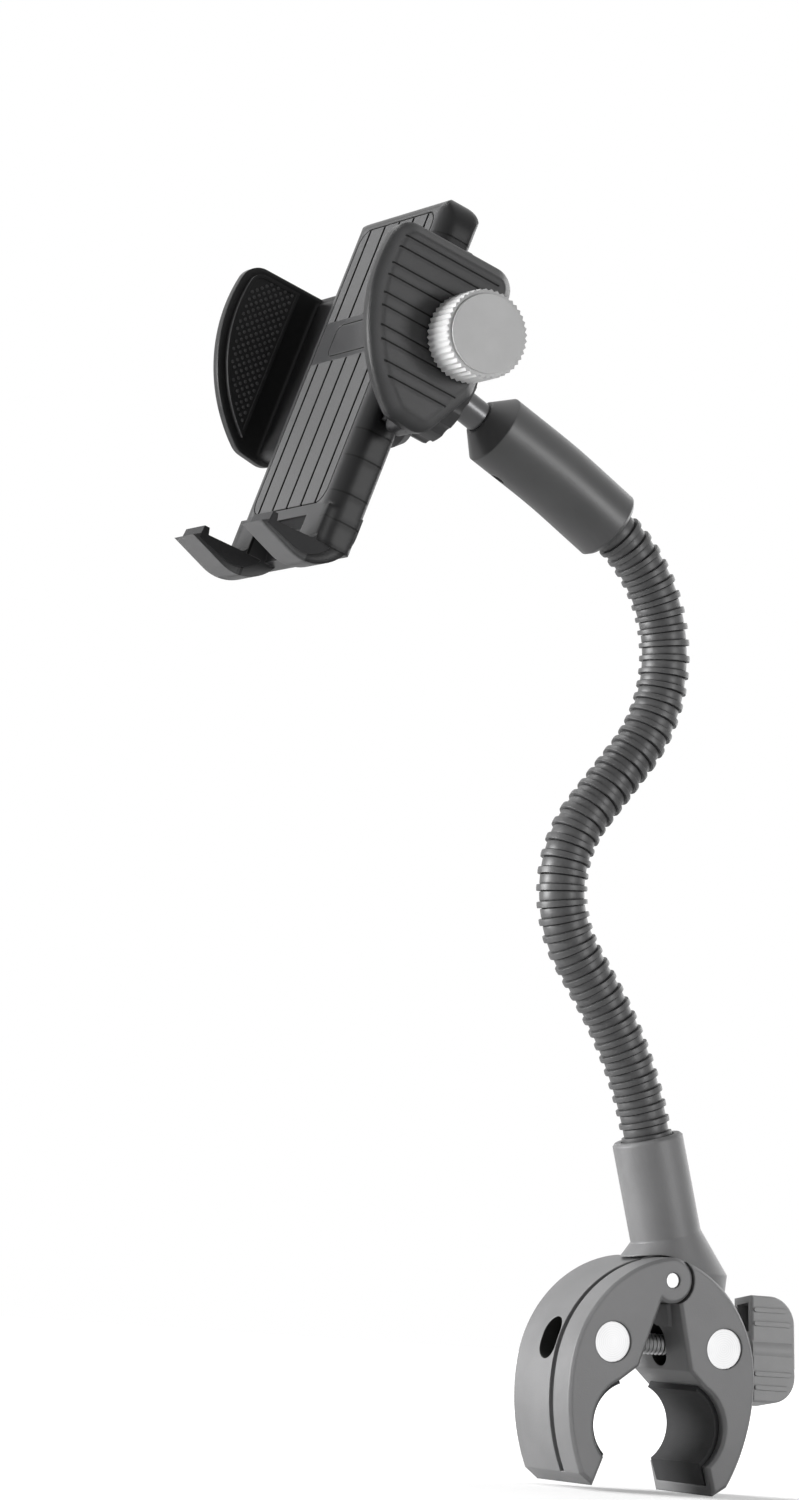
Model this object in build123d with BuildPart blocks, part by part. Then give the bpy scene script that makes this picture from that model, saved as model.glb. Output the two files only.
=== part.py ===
from build123d import *
import math
import os

# Pipe clamp. The origin is the axis of the pipe seat in the fixed jaw, at mid depth.
seat_radius = 9.5  # pipe that fills a jaw's rubber pad
pad_proud = 1.2  # rubber standing above the jaw's flanges
pad_sunk = 1.0  # rubber let into the jaw
pad_flange = 2.5  # metal left beside the rubber, front and back
jaw_depth = 27.0
jaw_wall = 7.3  # metal behind the saddle at the waist
jaw_edge = 0.7  # chamfer round the jaws
jaw_spread = 4.0  # degrees that the moving jaw's outline stands wider than a mirror image
jaw_opens = 5.0  # degrees that the moving jaw can still open
saddle_low = -50.0  # degrees, lower end of the saddle's arc
saddle_high = 62.0
hinge_out = 5.2  # hinge axis, outwards and up from the pipe axis
hinge_up = 33.4
pin_radius = 1.75
pin_clearance = 0.04
knuckle_radius = 5.2
knuckle_low = -66.0  # degrees, where the jaw's inner edge leaves the knuckle
knuckle_width = 9.6  # fixed knuckle, between the moving jaw's two ears
hinge_gap = 0.4
shoulder_out = 17.0  # a point of the jaw's back, from the hinge
shoulder_down = 4.9
crown_angle = 75.5  # degrees, where the jaw's back leaves the knuckle
waist_rise = 2.0  # end of the back's upper curve, above the saddle
heel_out = 1.7  # lower end of the back, outwards and down from the saddle
heel_drop = 1.9
toe_in = 1.8  # tip of the jaw, inwards and down from the saddle
toe_drop = 4.1
throat_out = 0.8  # upper end of the saddle, outwards and up
throat_rise = 2.4
lip_in = 2.9  # rubber's tail on the jaw's lip
lip_drop = 1.7
lip_thickness = 1.2
lip_fall = 0.3
lining_head = 4.0  # degrees that the rubber runs past the saddle's upper end
lining_tail = 2.0
groove_width = 2.0  # groove down the moving jaw's back
groove_depth = 1.0
groove_inset = 8.6  # from the jaw's front face

# Clamp screw, the two cross barrels that it passes through, and its wing knob.
barrel_out = 14.6  # barrel axes, outwards and down from the hinge
barrel_down = 14.7
barrel_radius = 4.6
barrel_inset = 0.5  # barrel ends, below the jaws' faces
barrel_clearance = 0.05
screw_radius = 2.5
shoulder_radius = 3.2  # thrust shoulder of the screw
thrust_flat = 3.0  # from the bush axis to its thrust face
thrust_gap = 0.05
slot_width = 7.2
slot_height = 9.6
screw_tail = 3.4  # thread past the nut barrel's axis
wing_gap = 12.9  # bush axis to the wing's mouth
wing_length = 11.6
wing_height = 24.7
wing_thickness = 8.2
wing_wall = 1.6
wing_round = 6.5
wing_turned = 8.0  # degrees that the wing stands from upright
hub_radius = 4.4
rib_height = 0.4
rib_width = 1.1
rib_outer_up = 9.0  # ribs on the wing's faces, from its middle
rib_inner_up = 5.8
rib_outer_length = 9.0
rib_inner_length = 10.0

# Leaning post cast with the fixed jaw.
post_radius = 8.2
post_lean = 16.5  # degrees from upright
post_top_x = -6.9
post_top_z = 65.7
post_sunk = 34.0  # post length down into the jaw
post_edge = 0.6
root_start = 23.0  # where the post begins to flare, below its top
root_z = 35.5
root_x = 1.2
root_reach = 14.2
root_depth = 10.5
root_end_z = 23.0
root_end_x = 4.5
root_end_reach = 9.5

# Flexible neck with ring ribs, on a route of straight runs and arcs.
neck_radius = 5.9
neck_valley = 5.2
neck_pitch = 3.4
neck_seat = 9.0  # length held in the post and in the sleeve
neck_mouth = 1.5  # ribs reaching into each mouth
neck_clearance = 0.05
mouth_clearance = 0.4
neck_lead = 1.9
low_bend_radius = 96.0
low_bend_turn = 20.0  # degrees, positive towards the cradle
low_bend_run = 9.5  # straight run after the bend
mid_bend_radius = 28.5
mid_bend_turn = -73.0
mid_bend_run = 17.3
top_bend_radius = 36.2
top_bend_turn = 94.0

# Bent sleeve on the neck's upper end, and the ball stud fixed in it.
sleeve_radius = 8.65
sleeve_low_run = 13.0
sleeve_bend_radius = 160.0
sleeve_bend = 4.0  # degrees
sleeve_high_run = 12.6
sleeve_edge = 0.9
nose_length = 4.6
nose_tip_radius = 4.4
stud_radius = 3.65
stud_seat = 11.0  # stud length inside the straight part of the sleeve
stud_clearance = 0.03
stud_reach = 22.1  # sleeve shoulder to ball centre
ball_radius = 7.5
grub_radius = 1.75
grub_back = 7.5  # below the sleeve's shoulder
grub_turn = 12.0  # degrees from straight down, towards the front
grub_sunk = 0.8

# Cradle, in its own frame: across, up along the plate, and out of its face.
cradle_lean = 18.7  # degrees that the plate leans back
ball_depth = 18.7  # ball centre behind the plate's face
plate_top = 33.4
plate_floor = -53.4  # where the feet start
plate_half = 23.0
plate_thickness = 8.0  # face to the seat of the back cover
plate_skin = 1.0  # rim that stands behind that seat
side_reach = 4.0  # rounding of the plate's long sides
side_depth = 5.0
back_chamfer = 1.0
plate_round = 4.4  # rounding of the top end, front and back
plate_corner = 7.0
side_line_width = 0.4  # lines across the plate's sides, in pairs
side_line_depth = 0.35
side_line_gap = 6.6
side_line_pitch = 15.3
side_line_low = -44.0  # middle of the lowest pair
side_line_top = 23.6  # single line near the top
panel_low = -43.8
panel_high = 29.4
panel_inset = 0.5  # panel's outline, inside the flat face
panel_corner = 4.0
outline_width = 0.4
outline_depth = 0.3
band_low = -5.3  # smooth band between the grooved panels
band_high = 5.5
window_half = 11.4  # outline on the band
window_height = 8.3
window_corner = 2.2
panel_grooves = 5
panel_groove_pitch = 7.2
panel_groove_width = 0.9
panel_groove_depth = 0.5
foot_width = 10.0
foot_inset = 0.4  # foot's side, inside the plate's
foot_reach = 13.6
foot_drop = 4.9  # thickness of a foot
foot_skin = 1.2
foot_fillet = 1.6  # rubber's hollow corner at the plate
heel_rise = 9.0  # where the heel's curve starts, above the floor
nose_back = 2.2  # flat of the foot's tip
nose_sag = 0.4
nose_drop = 1.8
stop_back = 3.6  # rubber stop at the foot's tip
stop_slope = 0.4
stop_flat = 1.3
stop_height = 1.6
stop_sag = 0.3
notch_rise = 7.1  # pocket between the feet, above the floor
notch_depth = 5.0

# Arms, their racks and the pinion between them.
arm_half = 42.0  # outer face of an arm, from the plate's middle
arm_wall = 5.0
arm_top = 16.3
arm_bottom = -26.6
arm_front = 17.4
arm_back = -15.0
arm_bevel = 2.6
arm_round = 5.0
arm_closes = 4.0  # travel inwards
arm_top_set = 2.0  # top end of the bowed front edge, back from the front
arm_bow_set = 2.4  # a point of the bowed edge
arm_bow_up = -7.0
arm_tail_set = 16.0  # its lower end
arm_tail_rise = 1.0
arm_heel_set = 7.5  # cut-back lower rear corner
arm_heel_rise = 14.0
arm_pad_thickness = 1.5
arm_pad_inset = 1.8
arm_pad_back = 2.2
arm_pad_rim = 0.7  # raised border of an arm's rubber
arm_pad_rim_height = 0.3
arm_line_pairs = 5
arm_line_pitch = 6.9  # between pairs
arm_line_gap = 2.8  # within a pair
arm_line_middle = -3.3
arm_line_width = 0.4
arm_line_depth = 0.35
arm_line_back = -10.6
carriage_gap = 0.5  # arm's thick part to the plate's side, closed
carriage_front = -3.5
carriage_back = -12.8
carriage_inset = 1.5
carriage_heel_set = 5.0
carriage_heel_rise = 12.0
web_sunk = 3.0  # web inside the plate's side
web_low = -22.0
web_high = 14.0
bar_thickness = 3.6
bar_gap = 0.3
module = 1.0
pinion_teeth = 12
tooth_play = 0.3  # taken off each tooth's thickness
pressure_angle = 20.0
rack_addendum = 0.7
rack_clearance = 0.25
pinion_root = 0.95
pinion_addendum = 0.85
rack_back = 4.3  # rack's back edge beyond its pitch line
rack_past = 16.5  # rack length past the middle
rack_teeth = 9
guide_low = 12.5
guide_height = 4.0
guide_past = 2.0
axle_radius = 1.5
axle_clearance = 0.05
fuse = 1.0  # depth by which fused members and cuts run past a face

# Locking knob on the right arm.
knob_radius = 9.9
knob_thickness = 9.5
knob_gap = 0.5
knob_face_radius = 8.8
knob_face_height = 0.7
knob_teeth = 44
knob_tooth = 0.5
knob_up = -2.6
knob_back = 7.8
shaft_radius = 2.0
shaft_clearance = 0.05
cam_long = 2.3
cam_short = 1.5
cam_start = 13.0
cam_end = 19.0
cam_gap = 0.2

# Back cover with the ball socket, and what holds the ball.
cover_inset = 1.5  # cover's side, inside the plate's
cover_gap = 0.2
cover_low = -24.5
cover_high = 24.5
cover_thickness = 5.6
cover_round = 5.0
cover_chamfer = 2.0
boss_radius = 12.0
boss_end = 23.6  # behind the plate's face
socket_gap = 0.4
ball_pad_thickness = 1.4
ball_pad_angle = 32.0
ball_clearance = 0.05
seat_angle = 62.0  # degrees from the stud axis to the ring's contact with the ball
ring_radius = 11.0
ring_front = 2.0  # behind the ball's centre
ring_back = 6.5
ring_mouth = 8.0
ring_clearance = 0.08
collar_radius = 14.0
collar_front = 16.5  # behind the plate's face
collar_back = 26.6
collar_mouth = 9.3
collar_flutes = 12
collar_flute_radius = 3.0
collar_flute_out = 2.4
fastener_across = 11.0
fastener_up = 20.3
fastener_radius = 1.0
fastener_head = 1.9
fastener_head_height = 1.4
fastener_depth = 4.4
fastener_web = 2.5  # cover left under a head
fastener_clearance = 0.15


def polar(radius, degrees):
    """A point at this radius and angle."""
    return (radius * math.cos(math.radians(degrees)), radius * math.sin(math.radians(degrees)))


# Places worked out from the sizes above.
hinge_x = -hinge_out
hinge_z = hinge_up
bush_x = hinge_x + barrel_out
nut_x = hinge_x - barrel_out
screw_z = hinge_z - barrel_down
saddle_radius = seat_radius + pad_proud
pad_width = jaw_depth - 2 * pad_flange
spread_cos = math.cos(math.radians(jaw_spread))
spread_sin = math.sin(math.radians(jaw_spread))
fixed_plane = Plane((hinge_x, 0, hinge_z), x_dir=(1, 0, 0), z_dir=(0, -1, 0))
moving_plane = Plane((hinge_x, 0, hinge_z), x_dir=(-spread_cos, 0, spread_sin), z_dir=(0, 1, 0))
open_cos = math.cos(math.radians(jaw_spread + jaw_opens))
open_sin = math.sin(math.radians(jaw_spread + jaw_opens))
open_plane = Plane((hinge_x, 0, hinge_z), x_dir=(-open_cos, 0, open_sin), z_dir=(0, 1, 0))


def saddle_point(out, up):
    """A point measured from the pipe axis, in a jaw's own frame at the hinge."""
    return (hinge_out + out, up - hinge_up)


throat = saddle_point(throat_out, saddle_radius + throat_rise)
crown = polar(knuckle_radius, crown_angle)
shoulder = (shoulder_out, -shoulder_down)
waist = saddle_point(saddle_radius + jaw_wall, saddle_radius + waist_rise)
heel = saddle_point(saddle_radius + heel_out, -saddle_radius - heel_drop)
toe = saddle_point(saddle_radius - toe_in, -saddle_radius - toe_drop)


def jaw_outline(plane, grow=0.0):
    """The outline that both jaws are cast to, with its knuckle, grown all round if asked."""
    with BuildSketch(plane) as outline:
        with BuildLine():
            back = ThreePointArc(crown, shoulder, waist)
            TangentArc(waist, heel, tangent=back % 1)
            Line(heel, toe)
            saddle = CenterArc(saddle_point(0, 0), saddle_radius, saddle_low, saddle_high - saddle_low)
            Line(toe, saddle @ 0)
            Line(saddle @ 1, throat)
            inner = Line(throat, polar(knuckle_radius, knuckle_low))
            Line(inner @ 1, crown)
        make_face()
        Circle(knuckle_radius)
        if grow:
            offset(amount=grow)
    return outline.sketch


def pad_outline(plane):
    """The rubber lining of a jaw: the saddle's arc, with a tail down the jaw's lip."""
    lip_inner = saddle_point(saddle_radius - lip_in, -saddle_radius - lip_drop)
    lip_outer = saddle_point(saddle_radius - lip_in + lip_thickness, -saddle_radius - lip_drop - lip_fall)
    face_low = saddle_low - lining_tail
    lining_high = saddle_high + lining_head
    pipe = saddle_point(0, 0)
    with BuildSketch(plane) as outline:
        with BuildLine():
            face = CenterArc(pipe, seat_radius, face_low, lining_high - face_low)
            floor = CenterArc(pipe, saddle_radius + pad_sunk, saddle_low, lining_high - saddle_low)
            Polyline(face @ 0, lip_inner, lip_outer, floor @ 0)
            Line(face @ 1, floor @ 1)
        make_face()
    return outline.sketch


def cut_jaw_fittings(jaw_plane, barrel_x):
    """Holes that both jaws have: pin, barrel, the screw's slot and the recess for the rubber."""
    with BuildSketch(fixed_plane) as pin_hole:
        Circle(pin_radius + pin_clearance)
    extrude(pin_hole.sketch, amount=jaw_depth / 2, both=True, mode=Mode.SUBTRACT)
    with BuildSketch(Plane.XZ) as barrel_hole:
        with Locations((barrel_x, screw_z)):
            Circle(barrel_radius + barrel_clearance)
    extrude(barrel_hole.sketch, amount=jaw_depth / 2, both=True, mode=Mode.SUBTRACT)
    with BuildSketch(Plane.YZ.offset(barrel_x)) as screw_slot:
        with Locations((0, screw_z)):
            SlotOverall(slot_height, slot_width, rotation=90)
    extrude(screw_slot.sketch, amount=barrel_out, both=True, mode=Mode.SUBTRACT)
    extrude(pad_outline(jaw_plane), amount=pad_width / 2, both=True, mode=Mode.SUBTRACT)


# Fixed jaw with the post that carries the neck.
post_axis = Vector(-math.sin(math.radians(post_lean)), 0, math.cos(math.radians(post_lean)))
post_top = Vector(post_top_x, 0, post_top_z)
post_plane = Plane(post_top, x_dir=(post_axis.Z, 0, -post_axis.X), z_dir=post_axis)
with BuildPart() as fixed_jaw:
    extrude(jaw_outline(fixed_plane), amount=jaw_depth / 2, both=True)
    rims = fixed_jaw.faces().filter_by(Axis.Y).edges()
    chamfer(rims, jaw_edge)
    with BuildSketch(post_plane.offset(-root_start)):
        Circle(post_radius)
    with BuildSketch(Plane.XY.offset(root_z)):
        with Locations((root_x, 0)):
            Ellipse(root_reach, root_depth)
    loft()
    with BuildSketch(Plane.XY.offset(root_z)):
        with Locations((root_x, 0)):
            Ellipse(root_reach, root_depth)
    with BuildSketch(Plane.XY.offset(root_end_z)):
        with Locations((root_end_x, 0)):
            Ellipse(root_end_reach, root_depth)
    loft()
    with BuildSketch(post_plane):
        Circle(post_radius)
    extrude(amount=-post_sunk)
    post_rim = fixed_jaw.edges().filter_by(GeomType.CIRCLE).sort_by(Axis.Z)[-1]
    chamfer(post_rim, post_edge)
    # Room for the moving jaw, first wide open and then closing.
    with BuildSketch(open_plane):
        add(jaw_outline(Plane.XY, hinge_gap))
        Circle(knuckle_radius + hinge_gap, mode=Mode.SUBTRACT)
    extrude(amount=jaw_depth / 2, both=True, mode=Mode.SUBTRACT)
    with BuildSketch(fixed_plane):
        Polygon(
            (0, 0), (-shoulder_out, -shoulder_down), (-2 * shoulder_out, -2 * hinge_up),
            (0, -2 * hinge_up), (throat[0] - hinge_gap, throat[1]), align=None,
        )
    extrude(amount=jaw_depth / 2, both=True, mode=Mode.SUBTRACT)
    for side in (-1, 1):
        with BuildSketch(fixed_plane.offset(side * knuckle_width / 2)):
            Circle(knuckle_radius + hinge_gap)
        extrude(amount=side * jaw_depth / 2, mode=Mode.SUBTRACT)
    with BuildSketch(fixed_plane):
        Circle(knuckle_radius)
    extrude(amount=knuckle_width / 2, both=True)
    cut_jaw_fittings(fixed_plane, bush_x)
    with BuildSketch(post_plane):
        Circle(neck_valley + neck_clearance)
    extrude(amount=-neck_seat, mode=Mode.SUBTRACT)
    with BuildSketch(post_plane):
        Circle(neck_radius + mouth_clearance)
    extrude(amount=-neck_mouth - mouth_clearance, mode=Mode.SUBTRACT)

# Moving jaw: the same outline turned over, with two ears round the fixed knuckle.
with BuildPart() as moving_jaw:
    extrude(jaw_outline(moving_plane), amount=jaw_depth / 2, both=True)
    rims = moving_jaw.faces().filter_by(Axis.Y).edges()
    chamfer(rims, jaw_edge)
    with BuildSketch(fixed_plane):
        Circle(knuckle_radius + hinge_gap)
    extrude(amount=knuckle_width / 2 + hinge_gap / 2, both=True, mode=Mode.SUBTRACT)
    cut_jaw_fittings(moving_plane, nut_x)
    with BuildSketch(moving_plane.offset(groove_inset - jaw_depth / 2)):
        with BuildLine():
            back = ThreePointArc(crown, shoulder, waist)
            TangentArc(waist, heel, tangent=back % 1)
        trace(line_width=2 * groove_depth)
    extrude(amount=groove_width / 2, both=True, mode=Mode.SUBTRACT)

with BuildPart() as hinge_pin:
    with BuildSketch(fixed_plane):
        Circle(pin_radius)
    extrude(amount=jaw_depth / 2 - barrel_inset, both=True)

with BuildPart() as fixed_jaw_pad:
    extrude(pad_outline(fixed_plane), amount=pad_width / 2, both=True)

with BuildPart() as moving_jaw_pad:
    extrude(pad_outline(moving_plane), amount=pad_width / 2, both=True)

# Cross barrels: a plain bush with a thrust flat, and a threaded nut.
with BuildPart() as barrel_bush:
    with BuildSketch(Plane.XZ):
        with Locations((bush_x, screw_z)):
            Circle(barrel_radius)
    extrude(amount=jaw_depth / 2 - barrel_inset, both=True)
    with BuildSketch(Plane.YZ.offset(bush_x)):
        with Locations((0, screw_z)):
            Circle(screw_radius + barrel_clearance)
    extrude(amount=barrel_radius, both=True, mode=Mode.SUBTRACT)
    with BuildSketch(Plane.YZ.offset(bush_x + thrust_flat)):
        with Locations((0, screw_z)):
            Circle(shoulder_radius + hinge_gap)
    extrude(amount=barrel_radius, mode=Mode.SUBTRACT)

with BuildPart() as barrel_nut:
    with BuildSketch(Plane.XZ):
        with Locations((nut_x, screw_z)):
            Circle(barrel_radius)
    extrude(amount=jaw_depth / 2 - barrel_inset, both=True)
    with BuildSketch(Plane.YZ.offset(nut_x)):
        with Locations((0, screw_z)):
            Circle(screw_radius + barrel_clearance)
    extrude(amount=barrel_radius, both=True, mode=Mode.SUBTRACT)

# Clamp screw with its thrust shoulder, and the hollow wing knob moulded on its end.
shoulder_x = bush_x + thrust_flat + thrust_gap
wing_x = bush_x + wing_gap
screw_end_x = wing_x + wing_length - wing_wall
with BuildPart() as clamp_screw:
    with BuildSketch(Plane.YZ.offset(nut_x - screw_tail)):
        with Locations((0, screw_z)):
            Circle(screw_radius)
    extrude(amount=shoulder_x - nut_x + screw_tail)
    with BuildSketch(Plane.YZ.offset(shoulder_x)):
        with Locations((0, screw_z)):
            Circle(shoulder_radius)
    extrude(amount=screw_end_x - shoulder_x)
    tail_rim = clamp_screw.edges().filter_by(GeomType.CIRCLE).sort_by(Axis.X)[0]
    chamfer(tail_rim, screw_radius / 4)

wing_normal = (0, -math.cos(math.radians(wing_turned)), math.sin(math.radians(wing_turned)))
wing_plane = Plane((wing_x, 0, screw_z), x_dir=(1, 0, 0), z_dir=wing_normal)


def wing_outline(inset):
    """The wing's side outline, square at its mouth and round at its outer end."""
    with BuildSketch(wing_plane) as outline:
        with Locations((wing_length / 2, 0)):
            Rectangle(wing_length, wing_height)
        fillet(outline.vertices().group_by(Axis.X)[-1], wing_round)
        if inset:
            offset(amount=-inset)
            with Locations((inset, 0)):
                Rectangle(2 * inset, wing_height - 2 * inset)
    return outline.sketch


with BuildPart() as wing_knob:
    extrude(wing_outline(0), amount=wing_thickness / 2, both=True)
    chamfer(wing_knob.faces().filter_by(Plane(origin=(0, 0, 0), z_dir=wing_normal)).edges(), rib_height)
    extrude(wing_outline(wing_wall), amount=wing_thickness / 2 - wing_wall, both=True, mode=Mode.SUBTRACT)
    with BuildSketch(Plane.YZ.offset(wing_x)):
        with Locations((0, screw_z)):
            Circle(hub_radius)
    extrude(amount=wing_length - wing_wall / 2)
    with BuildSketch(Plane.YZ.offset(wing_x)):
        with Locations((0, screw_z)):
            Circle(shoulder_radius)
    extrude(amount=screw_end_x - wing_x, mode=Mode.SUBTRACT)
    for face in (-1, 1):
        with BuildSketch(wing_plane.offset(face * wing_thickness / 2)):
            for up, length in ((rib_outer_up, rib_outer_length), (rib_inner_up, rib_inner_length)):
                for end in (-1, 1):
                    with Locations((length / 2 + rib_height, end * up)):
                        SlotOverall(length, rib_width)
        extrude(amount=face * rib_height)

# Neck route in the plane of symmetry, from inside the post to inside the sleeve.
with BuildLine(Plane.XZ) as route:
    start = post_top - post_axis * neck_seat
    lead_end = post_top + post_axis * neck_lead
    lead = Line((start.X, start.Z), (lead_end.X, lead_end.Z))
    low_bend = JernArc(lead @ 1, lead % 1, low_bend_radius, low_bend_turn)
    low_run = Line(low_bend @ 1, (low_bend @ 1) + (low_bend % 1) * low_bend_run)
    mid_bend = JernArc(low_run @ 1, low_run % 1, mid_bend_radius, mid_bend_turn)
    mid_run = Line(mid_bend @ 1, (mid_bend @ 1) + (mid_bend % 1) * mid_bend_run)
    top_bend = JernArc(mid_run @ 1, mid_run % 1, top_bend_radius, top_bend_turn)
    neck_end = top_bend @ 1
    sleeve_axis = top_bend % 1
    Line(neck_end, neck_end + sleeve_axis * neck_seat)
neck_wire = route.wires()[0]
rib_start = neck_seat - neck_mouth
rib_length = neck_wire.length - 2 * rib_start
rib_count = round(rib_length / neck_pitch)


def neck_plane(distance):
    """The plane across the neck at this distance along its route."""
    share = distance / neck_wire.length
    return Plane(neck_wire @ share, z_dir=neck_wire % share)


with BuildPart() as gooseneck:
    with BuildSketch(neck_plane(0)):
        Circle(neck_valley)
    for rib in range(rib_count):
        with BuildSketch(neck_plane(rib_start + rib_length * rib / rib_count)):
            Circle(neck_valley)
        with BuildSketch(neck_plane(rib_start + rib_length * (rib + 0.5) / rib_count)):
            Circle(neck_radius)
    with BuildSketch(neck_plane(rib_start + rib_length)):
        Circle(neck_valley)
    with BuildSketch(neck_plane(neck_wire.length)):
        Circle(neck_valley)
    loft(ruled=True)

# Sleeve: a tube swept along a gentle bend, with a conical nose.
with BuildLine(Plane.XZ) as sleeve_route:
    bend_start = neck_end + sleeve_axis * sleeve_low_run
    straight = Line((neck_end.X, neck_end.Z), (bend_start.X, bend_start.Z))
    sleeve_arc = JernArc(straight @ 1, straight % 1, sleeve_bend_radius, sleeve_bend)
    Line(sleeve_arc @ 1, (sleeve_arc @ 1) + (sleeve_arc % 1) * sleeve_high_run)
sleeve_wire = sleeve_route.wires()[0]
stud_axis = sleeve_wire % 1
sleeve_shoulder = sleeve_wire @ 1
mouth_plane = Plane(neck_end, z_dir=sleeve_axis)
nose_plane = Plane(sleeve_shoulder, x_dir=(0, 1, 0), z_dir=stud_axis)
ball_centre = sleeve_shoulder + stud_axis * stud_reach
grub_x, grub_y = polar(1, 90 - grub_turn)
grub_direction = nose_plane.x_dir * grub_x + nose_plane.y_dir * grub_y
grub_plane = Plane(sleeve_shoulder - stud_axis * grub_back, z_dir=grub_direction)
with BuildPart() as neck_sleeve:
    with BuildSketch(mouth_plane):
        Circle(sleeve_radius)
    sweep(path=sleeve_wire)
    mouth_rim = neck_sleeve.edges().sort_by(Axis(neck_end, sleeve_axis))[0]
    chamfer(mouth_rim, sleeve_edge)
    with BuildSketch(nose_plane):
        Circle(sleeve_radius)
    with BuildSketch(nose_plane.offset(nose_length)):
        Circle(nose_tip_radius)
    loft()
    with BuildSketch(mouth_plane):
        Circle(neck_valley + neck_clearance)
    extrude(amount=neck_seat, mode=Mode.SUBTRACT)
    with BuildSketch(mouth_plane):
        Circle(neck_radius + mouth_clearance)
    extrude(amount=neck_mouth + mouth_clearance, mode=Mode.SUBTRACT)
    with BuildSketch(nose_plane.offset(nose_length)):
        Circle(stud_radius + stud_clearance)
    extrude(amount=-nose_length - stud_seat, mode=Mode.SUBTRACT)
    with BuildSketch(grub_plane):
        Circle(grub_radius + stud_clearance)
    extrude(amount=sleeve_radius, mode=Mode.SUBTRACT)

with BuildPart() as sleeve_grub_screw:
    with BuildSketch(grub_plane.offset(stud_radius)):
        Circle(grub_radius)
    extrude(amount=sleeve_radius - stud_radius - grub_sunk)

with BuildPart() as ball_stud:
    with BuildSketch(nose_plane.offset(-stud_seat)):
        Circle(stud_radius)
    extrude(amount=stud_seat + stud_reach)
    with Locations(Location(Plane(ball_centre, x_dir=(0, 1, 0), z_dir=stud_axis))):
        Sphere(ball_radius)

# Cradle frame: x across to the right arm, y up the plate, z out of its face.
lean = math.radians(cradle_lean)
face_normal = Vector(-math.cos(lean), 0, math.sin(lean))
plate_up = Vector(math.sin(lean), 0, math.cos(lean))
across = Vector(0, -1, 0)
cradle = Plane(ball_centre + face_normal * ball_depth, x_dir=across, z_dir=face_normal)
back_plane = cradle.offset(-plate_thickness)
meridian = Plane(ball_centre, x_dir=across, z_dir=plate_up * -1)
socket_axis = Axis(ball_centre, face_normal)
plate_depth = plate_thickness + plate_skin
panel_half = plate_half - side_reach
foot_out = plate_half - foot_inset - foot_width / 2
cover_half = plate_half - cover_inset
carriage_inner = plate_half + arm_closes + carriage_gap
web_inner = plate_half - web_sunk
rear_plane = cradle.offset(-plate_depth)
pinion_radius = module * pinion_teeth / 2
rack_tip = pinion_radius - rack_addendum
rack_edge = pinion_radius + rack_back
channel_depth = bar_thickness + 2 * bar_gap


def side_plane(distance):
    """A plane across the cradle at this distance to the right: x out of the face, y up the plate."""
    return Plane(cradle.origin + across * distance, x_dir=face_normal, z_dir=across * -1)


def level_plane(height):
    """A plane across the plate at this height: x to the right, y back from the face."""
    return Plane(cradle.origin + plate_up * height, x_dir=across, z_dir=plate_up)


def foot_outline(plane):
    """A foot's hook from the side, from the plate's back round to its tip."""
    with BuildSketch(plane) as outline:
        with BuildLine():
            top = Polyline(
                (-plate_depth, plate_floor + heel_rise),
                (0, plate_floor + heel_rise),
                (0, plate_floor),
                (foot_reach - nose_back, plate_floor - nose_sag),
                (foot_reach, plate_floor - nose_drop),
            )
            under = Line(top @ 1, (foot_reach / 3, plate_floor - foot_drop))
            bottom = TangentArc(under @ 1, (-plate_depth, plate_floor + heel_rise / 2), tangent=under % 1)
            Line(bottom @ 1, top @ 0)
        make_face()
    return outline.sketch


def foot_pad_outline(plane):
    """A foot's rubber from the side: it fills the hook inside the skin, with a lip at the tip."""
    with BuildSketch(plane) as outline:
        with BuildLine():
            hollow = RadiusArc((0, plate_floor + foot_fillet), (foot_fillet, plate_floor), -foot_fillet)
            back = Polyline((-plate_thickness / 2, plate_floor), (0, plate_floor), hollow @ 0)
            top = Polyline(
                hollow @ 1,
                (foot_reach - stop_back, plate_floor - stop_sag),
                (foot_reach - stop_back + stop_slope, plate_floor - stop_sag + stop_height),
                (foot_reach - stop_back + stop_slope + stop_flat, plate_floor - stop_sag + stop_height),
                (foot_reach - stop_back + stop_slope + stop_flat + stop_sag, plate_floor - stop_height),
            )
            under = Line(top @ 1, (foot_reach / 3, plate_floor - foot_drop + foot_skin))
            TangentArc(under @ 1, back @ 0, tangent=under % 1)
        make_face()
    return outline.sketch


def rack_outline(side):
    """An arm's rack: a bar across the pinion with straight-sided gaps cut into its inner edge."""
    pitch = math.pi * module
    depth = rack_addendum + module + rack_clearance
    slope = math.tan(math.radians(pressure_angle))
    middle = (pitch / 2 + tooth_play) / 2
    top = middle + rack_addendum * slope
    bottom = middle - (depth - rack_addendum) * slope
    length = rack_past + arm_half - arm_wall / 2
    with BuildSketch(back_plane.offset(bar_gap)) as outline:
        with Locations((side * (length / 2 - rack_past), side * (rack_tip + rack_edge) / 2)):
            Rectangle(length, rack_edge - rack_tip)
        with Locations((-side * pitch, side * rack_tip)):
            with GridLocations(pitch, 0, rack_teeth, 1):
                Polygon(
                    (-top, 0), (top, 0), (bottom, side * depth), (-bottom, side * depth),
                    align=None, mode=Mode.SUBTRACT,
                )
    return outline.sketch


def guide_outline(side):
    """An arm's plain guide bar, on the other side of the pinion from its rack."""
    length = arm_half - arm_wall / 2 - guide_past
    with BuildSketch(back_plane.offset(bar_gap)) as outline:
        with Locations((side * (guide_past + length / 2), -side * (guide_low + guide_height / 2))):
            Rectangle(length, guide_height)
    return outline.sketch


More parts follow.
